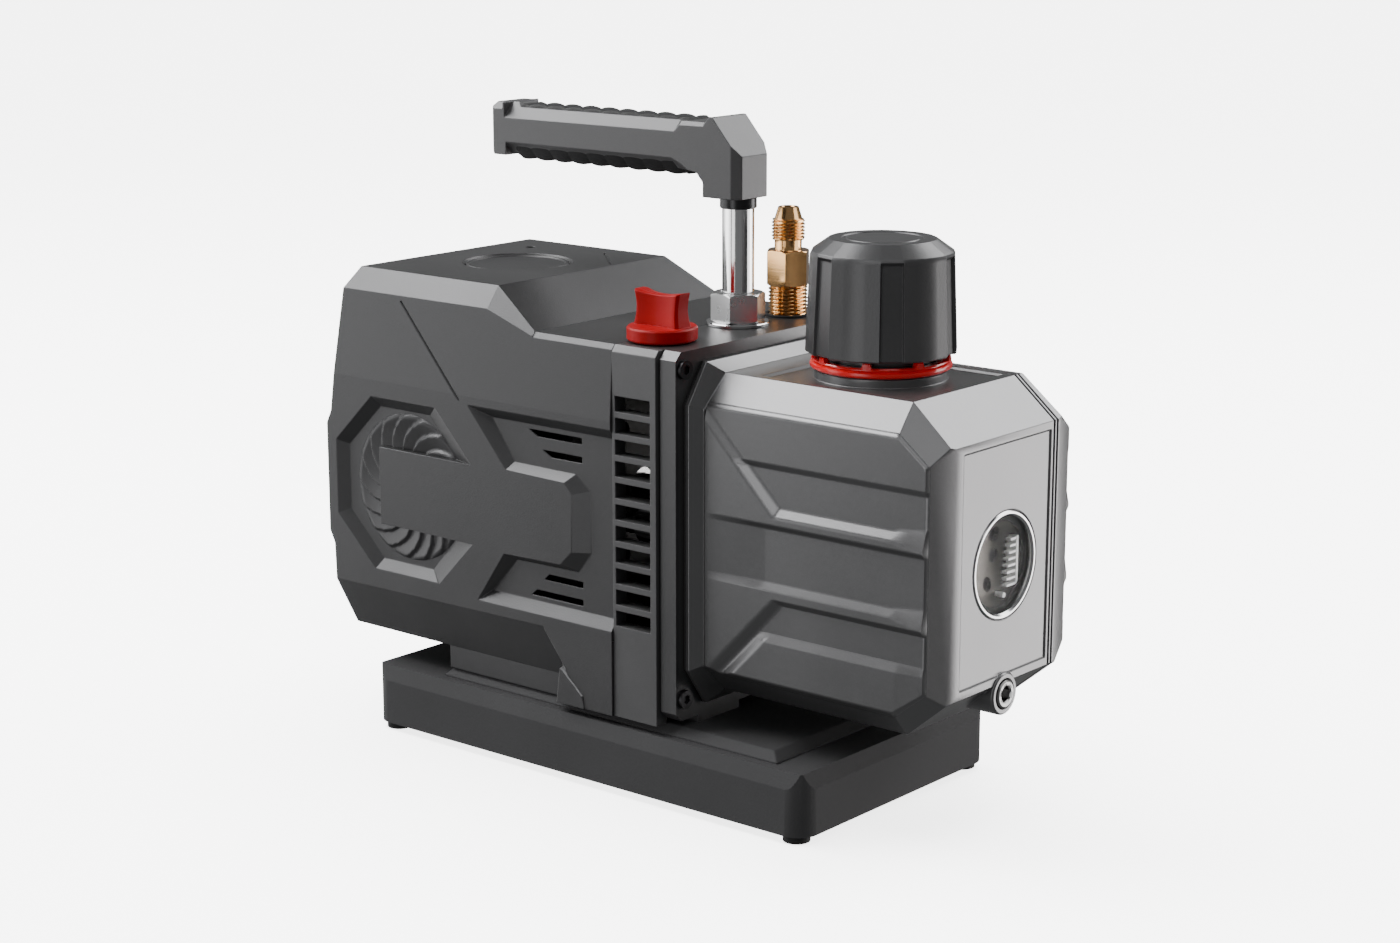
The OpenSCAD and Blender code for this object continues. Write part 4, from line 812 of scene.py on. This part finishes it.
# %% Facets of the cap
RIB, FLAT = 20.75, 9.25
in_rib = np.array([-RIB, -RIB / 2, 0, RIB / 2, RIB])
in_flat = np.array([RIB + 0.7, RIB + FLAT / 2, 30, 60 - RIB - FLAT / 2, 60 - RIB - 0.7])
angles = (np.concatenate([in_rib, in_flat])[None, :] + 60 * np.arange(6)[:, None]).ravel()
is_flat = np.tile([False] * 5 + [True] * 5, 6)
off_rib = np.abs((angles + 30) % 60 - 30)
chord = np.where(is_flat, np.cos(np.radians(FLAT)) / np.cos(np.radians(30 - np.minimum(off_rib, 30))),
                 np.cos(np.radians(RIB / 2)) / np.cos(np.radians(off_rib - RIB / 2)))


def facets(radius, step, facet=1.0):
    """Radius at each angle: a facet's chord, with the flats set in by step; facet 0 gives a plain circle."""
    return radius * (1 + (chord - 1) * facet) - step * is_flat


cap_z0, cap_z1 = cap_lo[2], cap_hi[2]
BIG = (cap_hi[0] - cap_lo[0]) / 2
profile = [(18 + 0 * angles, cap_z1 - 4), (18 + 0 * angles, cap_z0 + 10), (20.6 + 0 * angles, cap_z0 + 10),
           (20.6 + 0 * angles, cap_z0), (facets(BIG - 0.6, 1.2), cap_z0), (facets(BIG, 1.2), cap_z0 + 0.6),
           (facets(BIG - 1.35, 1.2), cap_z1 - 6.6), (facets(BIG - 1.4, 0.0), cap_z1 - 5.4),
           (facets(BIG - 1.9, 0.0), cap_z1 - 4.4), (facets(BIG - 7.4, 0, 0.8), cap_z1 - 0.5),
           (facets(BIG - 8.1, 0, 0.6), cap_z1), (14.8 + 0 * angles, cap_z1), (14.4 + 0 * angles, cap_z1 - 0.45),
           (13.2 + 0 * angles, cap_z1 - 0.45), (12.8 + 0 * angles, cap_z1 - 0.05), (2 + 0 * angles, cap_z1 - 0.02)]
cap = solid("cap_faceted", *spun(*zip(*profile), (CX, 0), turn=-76.25, angles=angles))
cap_black = moulded("cap_black", rgb("464647"), rgb("525253"), 0.36, 2400, 0.00005, 0.5, metallic=0.5)
dress(cap, cap_black, "exhaust_cap", ("exhaust_cap",), edge=0.14, smooth=25)

# %% Red ring under the cap
ring_lo, ring_hi = span("exhaust_ring")
RZ, tab_top = ring_lo[2], ring_hi[2]
n_ring = 240
is_tab = (np.arange(n_ring) * 360 / n_ring - 20) % 45 < 8
lip = RZ + 3.6 + np.where(is_tab, tab_top - RZ - 3.6, 0)
profile = [(20.6, RZ), (24.7, RZ), (25.35, RZ + 0.5), (25.55, RZ + 1.2), (25.35, RZ + 1.9), (24.7, RZ + 2.4),
           (24.2, RZ + 2.6), (24.2, RZ + 2.9), (25.0, RZ + 3.1), (25.1, lip - 0.35), (24.8, lip), (22.9, lip),
           (22.6, lip - 0.3), (22.5, RZ + 3.2), (20.6, RZ + 3.2)]
red_ring = solid("red_ring", *spun(*zip(*profile), (CX, 0), n=n_ring, closed=True))
red_gloss = moulded("red_gloss", rgb("dc1018"), rgb("ee1c20"), 0.2, 1600, 0.00002, 0.6)
dress(red_ring, red_gloss, stands_for=("exhaust_ring",), smooth=35)

# %% [markdown]
# ## Gas ballast knob
# A round base carries a wing to turn it by. The wing's sides are hollow for the finger tips and its top sags in the
# middle: the half thickness and the height both grow with the square of the distance from the axis.

# %% Ballast knob
knob_lo, knob_hi = span("ballast_knob")
KX, KY, KZ = (knob_lo[0] + knob_hi[0]) / 2, (knob_lo[1] + knob_hi[1]) / 2, knob_lo[2]
LONG, sag = 10.7, 80.0
u = np.linspace(-1, 1, 25)
s = np.concatenate([np.linspace(0, 1, 12), [1.0, 1.0, 1.0, 1.0]])[:, None]
thin = np.concatenate([np.ones(12), [0.93, 0.8, 0.4, 0.04]])[:, None]
crown = np.concatenate([np.zeros(12), [0.28, 0.4, 0.42, 0.42]])[:, None]
length = (LONG - 0.9 * np.sin(np.pi * np.minimum(s, 1))) * (1 - 0.02 * (1 - thin))
wx = np.concatenate([u, u[::-1]]) * length
half_thick = (2.3 + wx ** 2 / 50 + 0.9 * (1 - s) ** 2) * np.sqrt(np.clip(1 - np.abs(wx / (length + 0.35)) ** 14, 0.02, 1))
wy = np.concatenate([np.ones(25), -np.ones(25)]) * half_thick * thin
top_of_wing = knob_hi[2] - 0.45 - LONG ** 2 / sag + wx ** 2 / sag
wz = KZ + 4.9 + s * (top_of_wing - KZ - 4.9) + crown
wing = np.stack([KX + wx, KY + wy, wz], -1)
knob = solid("ballast_knob_moulded", *spun(*zip((3.02, KZ), (12.4, KZ), (12.95, KZ + 0.6), (12.95, KZ + 4.5),
                                                (12.4, KZ + 5.1), (11.6, KZ + 5.3), (3.02, KZ + 5.3)),
                                           (KX, KY), closed=True))
join(knob, wing[:, ::-1])
knob_red = moulded("knob_red", rgb("9a0007"), rgb("ac020a"), 0.44, 1800, 0.00004, 0.16)
dress(knob, knob_red, "ballast_knob", ("ballast_knob",), edge=0.1, smooth=35)

# %% [markdown]
# ## Inlet fitting, post, nut and washer
# A thread is a turned surface whose radius falls and rises once in each pitch and is shifted by one pitch in a
# turn: the phase is the height over the pitch less the angle over a full turn. Hexagons have their corners trimmed
# by a cone, which draws the curved line that every nut has on its flats.

# %% Brass inlet fitting
in_lo, in_hi = span("inlet_fitting")
IX, IY, IZ = (in_lo[0] + in_hi[0]) / 2, 34.5, DECK
N = 96
lap = np.arange(N) / N


def thread(z, major, depth, pitch, z0, z1):
    """Radius of a thread at each angle for height z, fading out at z0 and z1."""
    wave = np.abs(2 * ((z / pitch - lap) % 1) - 1)
    fade = np.clip(min(z - z0, z1 - z) / (0.6 * pitch), 0, 1)
    return major - depth * (1 - np.clip(1.35 * wave - 0.15, 0, 1)) * fade - 0.35 * (1 - fade)


def nut_side(z, apothem, z0, z1):
    """Radius of a hexagon whose ends are trimmed by a cone of 30 degrees."""
    return np.minimum(hexagon(apothem, N), apothem * 1.03 + (min(z - z0, z1 - z)) * 1.73)


rows = [(7.1 + 0 * lap, IZ - 6.9), (7.1 + 0 * lap, IZ)]
rows += [(thread(z, 7.5, 0.8, 1.41, IZ, IZ + 11.8), z) for z in np.arange(IZ + 0.05, IZ + 11.8, 0.176)]
h0, h1 = IZ + 11.8, IZ + 25.2
rows += [(nut_side(z, 7.55, h0, h1), z) for z in h0 + np.array((0, 0.12, 0.25, 0.4, 0.6, 0.9, 4, 8, 12, 12.5, 12.8,
                                                              13.0, 13.15, 13.28, 13.4))]
rows += [(5.4 + 0 * lap, h1 + 0.02), (5.2 + 0 * lap, h1 + 0.4), (5.2 + 0 * lap, IZ + 29)]
rows += [(thread(z, 6.35, 0.75, 1.27, IZ + 29.1, IZ + 37), z) for z in np.arange(IZ + 29.1, IZ + 37, 0.159)]
rows += [(5.3 + 0 * lap, IZ + 37.1), (3.95 + 0 * lap, in_hi[2] - 0.15), (3.7 + 0 * lap, in_hi[2]),
         (2.9 + 0 * lap, in_hi[2]), (2.5 + 0 * lap, in_hi[2] - 0.4), (2.5 + 0 * lap, IZ - 6.9)]
fitting = solid("inlet_fitting_turned", *spun(*zip(*rows), (IX, IY), turn=1, n=N, closed=True))
brass = machined("brass", rgb("c08a52"), rgb("e8bf88"), 0.16, (1, 1, 30), 60, 0.00001)
dress(fitting, brass, stands_for=("inlet_fitting",), smooth=32)

# %% Chromed post, nut, washer and collar
post_lo, post_hi = span("handle_post")
nut_lo, nut_hi = span("handle_nut")
wash_lo, wash_hi = span("handle_washer")
coll_lo, coll_hi = span("handle_collar")
PX, PY = (post_lo[0] + post_hi[0]) / 2, (post_lo[1] + post_hi[1]) / 2
PR = (post_hi[0] - post_lo[0]) / 2
chrome = machined("chrome", rgb("c9c9c9"), rgb("e9e9e9"), 0.13, (1, 1, 0.2), 40, 0.000004)
post = solid("post_chromed", *spun(*zip((PR - 1, post_lo[2]), (PR, post_lo[2] + 1), (PR, nut_hi[2] + 1),
                                        (PR, coll_lo[2]), (PR, post_hi[2] - 1), (PR - 1, post_hi[2])), (PX, PY), n=128))
dress(post, chrome, stands_for=("handle_post",), smooth=25)
n0, n1 = nut_lo[2], nut_hi[2]
rows = [(nut_side(z, 9.09, n0, n1), z) for z in n0 + np.array((0, 0.12, 0.25, 0.4, 0.6, 0.9, 1.3, 5.4, 9.5, 9.9, 10.2,
                                                             10.4, 10.55, 10.68, 10.8))]
rows += [(PR + 1 + 0 * lap, n1), (PR + 0.15 + 0 * lap, n1 - 0.8), (PR + 0.15 + 0 * lap, n0 + 0.8),
         (PR + 1 + 0 * lap, n0)]
nut = solid("nut_chromed", *spun(*zip(*rows), (PX, PY), turn=-8, n=N, closed=True))
zinc = machined("zinc_bright", rgb("b4b4b5"), rgb("dcdcdc"), 0.27, (1, 1, 0.2), 60, 0.00001)
dress(nut, zinc, stands_for=("handle_nut",), smooth=28)


def flat_ring(name, r_in, r_out, z0, z1, soft):
    """Turned ring with its four edges rounded off by soft."""
    form = [(r_in, z0 + soft), (r_in + soft, z0), (r_out - soft, z0), (r_out, z0 + soft), (r_out, z1 - soft),
            (r_out - soft, z1), (r_in + soft, z1), (r_in, z1 - soft)]
    return solid(name, *spun(*zip(*form), (PX, PY), closed=True))


washer = flat_ring("washer_chromed", PR + 0.1, 12, wash_lo[2], wash_hi[2], 0.25)
dress(washer, chrome, stands_for=("handle_washer",))
collar = flat_ring("collar_black", PR + 0.05, 6.9, coll_lo[2], coll_hi[2], 0.3)
dress(collar, machined("blued_steel", rgb("2f2f30"), rgb("4a4a4b"), 0.3, (1, 1, 20), 90),
      stands_for=("handle_collar",))

# %% [markdown]
# ## Carrying grip
# The grip is a moulded bar with an elbow. Its outline from the side is extruded across, the front corners are
# cut from above, and one long wedge whose height changes along the bar draws all upper bevels at once. Black soft
# pads with finger waves lie on the bar and under it.

# %% Grip
grip_lo, grip_hi = span("handle_grip")
GX, GR, GZ = grip_hi[0], grip_lo[0], grip_lo[2]
GW = (grip_hi[1] - grip_lo[1]) / 2
outline = [(GX, GZ), (GX, GZ + 15.9), (GX - 12.1, GZ + 29.7), (GX - 13.6, GZ + 29.7), (GX - 17, GZ + 27.6),
           (GR + 14, GZ + 27.2), (GR + 11.5, GZ + 29.0), (GR + 3, GZ + 29.0), (GR, GZ + 25.4), (GR, GZ + 11.4),
           (GR + 3, GZ + 8.4), (GR + 9, GZ + 8.4), (GR + 10.5, GZ + 9.4), (GX - 23.5, GZ + 9.4), (GX - 19.8, GZ + 8.9),
           (GX - 16.8, GZ + 5.4), (GX - 16.8, GZ)]
plan = [(GX, 2.6 - GW), (GX, GW - 2.6), (GX - 3.4, GW), (GR + 2.6, GW), (GR, GW - 2.6), (GR, 2.6 - GW), (GR + 2.6, -GW),
        (GX - 3.4, -GW)]
grip = solid("grip_moulded", *skin([loop_y(outline, PY - GW), loop_y(outline, PY + GW)]))
combine(grip, [[loop_z(np.array(plan) + (0, PY), 190), loop_z(np.array(plan) + (0, PY), 260)]], "INTERSECT")


def wedge(x, z, side, lean=1.05):
    """Section of the long wedge at x: its sloping face meets the side of the bar at height z."""
    w = [(GW + 2, z - 2 * lean), (GW + 2, z + 30), (GW - 9, z + 30), (GW - 9, z + 9 * lean)]
    return loop_x([(PY + side * y, h) for y, h in w], x)


def under_wedge(x, z, side, lean=1.3):
    w = [(GW + 2, z + 2 * lean), (GW + 2, z - 30), (GW - 6, z - 30), (GW - 6, z - 6 * lean)]
    return loop_x([(PY + side * y, h) for y, h in w], x)


for side in (-1, 1):
    cut(grip, [wedge(x, GZ + z, side) for x, z in ((GR + 8.6, 23.0), (GX - 30.4, 23.4), (GX - 28, 25.9),
                                                  (GX - 16.6, 26.1), (GX - 12.9, 30.6))])
    cut(grip, [wedge(x, GZ + z, side) for x, z in ((GR - 2, 26.0), (GR + 7.6, 26.4))])
    cut(grip, [under_wedge(x, GZ + z, side) for x, z in ((GR + 9.2, 13.6), (GX - 32, 13.6), (GX - 27, 11.6),
                                                        (GX - 23, 9))])
grip_grey = moulded("grip_grey", rgb("505051"), rgb("5a5a5b"), 0.42, 2200, 0.00007, metallic=0.5)
dress(grip, grip_grey, stands_for=("handle_grip",), edge=0.3)

# %% Soft pads of the grip
PITCH = 9.5
x_run = np.linspace(GR + 12, GX - 24.5, 260)
wave = np.abs(np.sin(np.pi * (x_run - x_run[0]) / PITCH)) ** 0.7
end_fade = np.clip(np.minimum(x_run - x_run[0], x_run[-1] - x_run) / 2.5, 0, 1)
hang = (0.7 + 0.85 * wave) * end_fade
across = [(-9.5, 13.2, 0), (-7.9, 11.0, 0.35), (-5.6, 8.6, 1), (0, 8.5, 1), (5.6, 8.6, 1), (7.9, 11.0, 0.35),
          (9.5, 13.2, 0), (9.0, 14.4, 0), (5.2, 10.6, 0), (-5.2, 10.6, 0), (-9.0, 14.4, 0)]
under = np.stack([np.stack([x_run, PY + y + 0 * x_run, GZ + z - k * hang], -1) for y, z, k in across], 1)
y_run = np.linspace(-5.9, 5.9, 15)
chevron = np.abs(np.sin(np.pi * (x_run[:, None] - x_run[0] + 0.75 * np.abs(y_run[None, :])) / PITCH)) ** 0.6
edge_fade = np.clip(np.minimum(y_run + 5.9, 5.9 - y_run) / 0.8, 0, 1)[None, :] * end_fade[:, None]
top = np.stack(np.broadcast_arrays(x_run[:, None], PY + y_run[None, :], GZ + 27.0 + (0.6 + 0.95 * chevron) * edge_fade), -1)
back_row = top[:, ::-1] * (1, 1, 0) + (0, 0, GZ + 26.2)
pads = [solid("grip_pad_under", *skin(under)), solid("grip_pad_top", *skin(np.concatenate([top, back_row], 1)))]
pad_black = moulded("pad_black", rgb("1b1b1c"), rgb("262627"), 0.62, 1500, 0.00012, 0.35)
for pad in pads:
    dress(pad, pad_black, smooth=45)

# %% [markdown]
# ## Finishes for the CAD nodes that keep their shape
# Screws, shafts, bearings, the motor and the pump module keep their CAD mesh. A node's own material slots take a
# procedural finish, and a Weld and a Bevel modifier give each edge the small radius that a real part has.

# %% Finishes of the kept nodes
tray_black = moulded("tray_black", rgb("434344"), rgb("4e4e4f"), roughness=0.58, grain=1500, depth=0.00008, level=0.06)
kept = {
    tray_black: ("base_tray", "mounting_plinth"),
    moulded("foot_rubber", rgb("1c1c1c"), rgb("2a2a2a"), 0.75, 1400, 0.0001): (
        "rubber_feet", "shaft_seal", "tank_gasket", "sight_seal", "drain_seal", "inlet_seal"),
    machined("zinc_plate", rgb("9a9a98"), rgb("c4c4c0"), 0.32, (1, 1, 6), 300): (
        "foot_screws", "plinth_bolts", "shroud_screws", "valve_stop", "ballast_stem", "inlet_pins"),
    machined("sheet_steel", rgb("5c5c5c"), rgb("7c7c7c"), 0.42, (8, 1, 1), 120): ("motor_foot",),
    moulded("vent_black", rgb("525253"), rgb("5e5e5f"), 0.42, metallic=0.4): ("vent_frame", "rear_grille"),
    # Motor case and both bells are darkened far below bare aluminium: painted shade, so that the housing's slots look
    # dark inside.
    machined("cast_aluminium", rgb("3e3e3e"), rgb("575756"), 0.55, (1, 1, 1), 700, 0.00008, 0.8): (
        "motor_case", "rear_bell", "front_bell"),
    machined("lamination", rgb("4d4d4e"), rgb("77777a"), 0.42, (220, 1, 1), 14, 0.00004): (
        "stator_core", "rotor_core"),
    machined("varnished_copper", rgb("7a3b17"), rgb("b5682c"), 0.3, (1, 30, 30), 60, 0.0001): ("windings",),
    machined("ground_steel", rgb("a8a8a8"), rgb("cfcfcf"), 0.2, (30, 1, 1), 60): (
        "motor_shaft", "pump_shaft", "pump_rotor", "rear_bearing", "front_bearing"),
    moulded("fan_black", rgb("1d1d1e"), rgb("2b2b2c"), 0.45): ("cooling_fan",),
    moulded("can_black", rgb("222224"), rgb("2d2d30"), 0.3): ("capacitor",),
    machined("turned_aluminium", rgb("b5b5b4"), rgb("dededc"), 0.26, (40, 1, 1), 80): ("shaft_coupling",),
    painted("flange_grey", rgb("4c4c4d"), rgb("5a5a5b"), metallic=0.7, roughness=0.36): ("support_casting",),
    machined("black_oxide", rgb("3a3a3b"), rgb("565658"), 0.34, (1, 1, 4), 400): (
        "support_screws", "pump_bolts", "tank_screws"),
    machined("grey_iron", rgb("5a5a59"), rgb("7c7c7a"), 0.42, (1, 1, 1), 500, 0.00006): (
        "pump_cylinder", "end_cover"),
    moulded("vane_composite", rgb("4a3425"), rgb("6a4c36"), 0.5, 1800): ("pump_vanes",),
    machined("spring_steel", rgb("8d8d90"), rgb("b3b3b6"), 0.28, (1, 1, 30), 90): (
        "vane_springs", "discharge_valve"),
    moulded("sintered_white", rgb("b4b2aa"), rgb("d2d0c8"), 0.8, 900, 0.0003): ("exhaust_filter",),
    moulded("socket_black", rgb("161617"), rgb("222223"), 0.3): ("power_inlet", "switch_frame"),
    moulded("rocker_red", rgb("8f1416"), rgb("b3201f"), 0.28): ("rocker_switch",),
}
EDGE = {"base_tray": 0.6, "mounting_plinth": 0.5, "support_casting": 0.6, "vent_frame": 0.25, "rear_grille": 0.3}
for material, names in kept.items():
    for name in names:
        thing = NODES[name]
        thing.data.materials.clear()
        thing.data.materials.append(material)
        weld = thing.modifiers.new("weld", "WELD")
        weld.merge_threshold = 0.000005
        m = thing.modifiers.new("edge", "BEVEL")
        m.width, m.segments, m.limit_method = EDGE.get(name, 0.2) * MM, 2, "ANGLE"
        m.angle_limit = math.radians(35)
        m.harden_normals = m.loop_slide = False
print(sum(len(v) for v in kept.values()), "nodes keep their CAD mesh")

# %% Floor
REACH, FLAT_REACH, floor_n = 9.0, 3.0, 61
gx, gy = np.meshgrid(np.linspace(-REACH, REACH, floor_n), np.linspace(-REACH, REACH, floor_n))
climb_out = np.clip(np.hypot(gx, gy) - FLAT_REACH, 0, None) ** 2 * 0.16
sheet = solid("floor", *skin(np.stack([gx / MM, gy / MM, climb_out / MM - 0.02], -1), lids=False, ring=False))
if sheet.data.polygons[0].normal.z < 0:
    sheet.data.flip_normals()
sheet.data.polygons.foreach_set("use_smooth", [True] * len(sheet.data.polygons))
f = Finish("floor_sheet")
f.feed(Base_Color=f.blend(f.noise(3, 2), (0.86, 0.86, 0.86, 1), (0.9, 0.9, 0.9, 1)), Roughness=0.9,
       Emission_Color=(1, 1, 1, 1), Emission_Strength=3.6)
sheet.data.materials.append(f.material)
sheet.visible_glossy = sheet.visible_diffuse = sheet.visible_shadow = False
light_only(sun, sheet)
for card in cards:
    light_only(card, post, nut, washer, fitting, ring, plug)
light_only(cards[1], comb)
light_only(shoulder, tank, cap, grip, *sides)
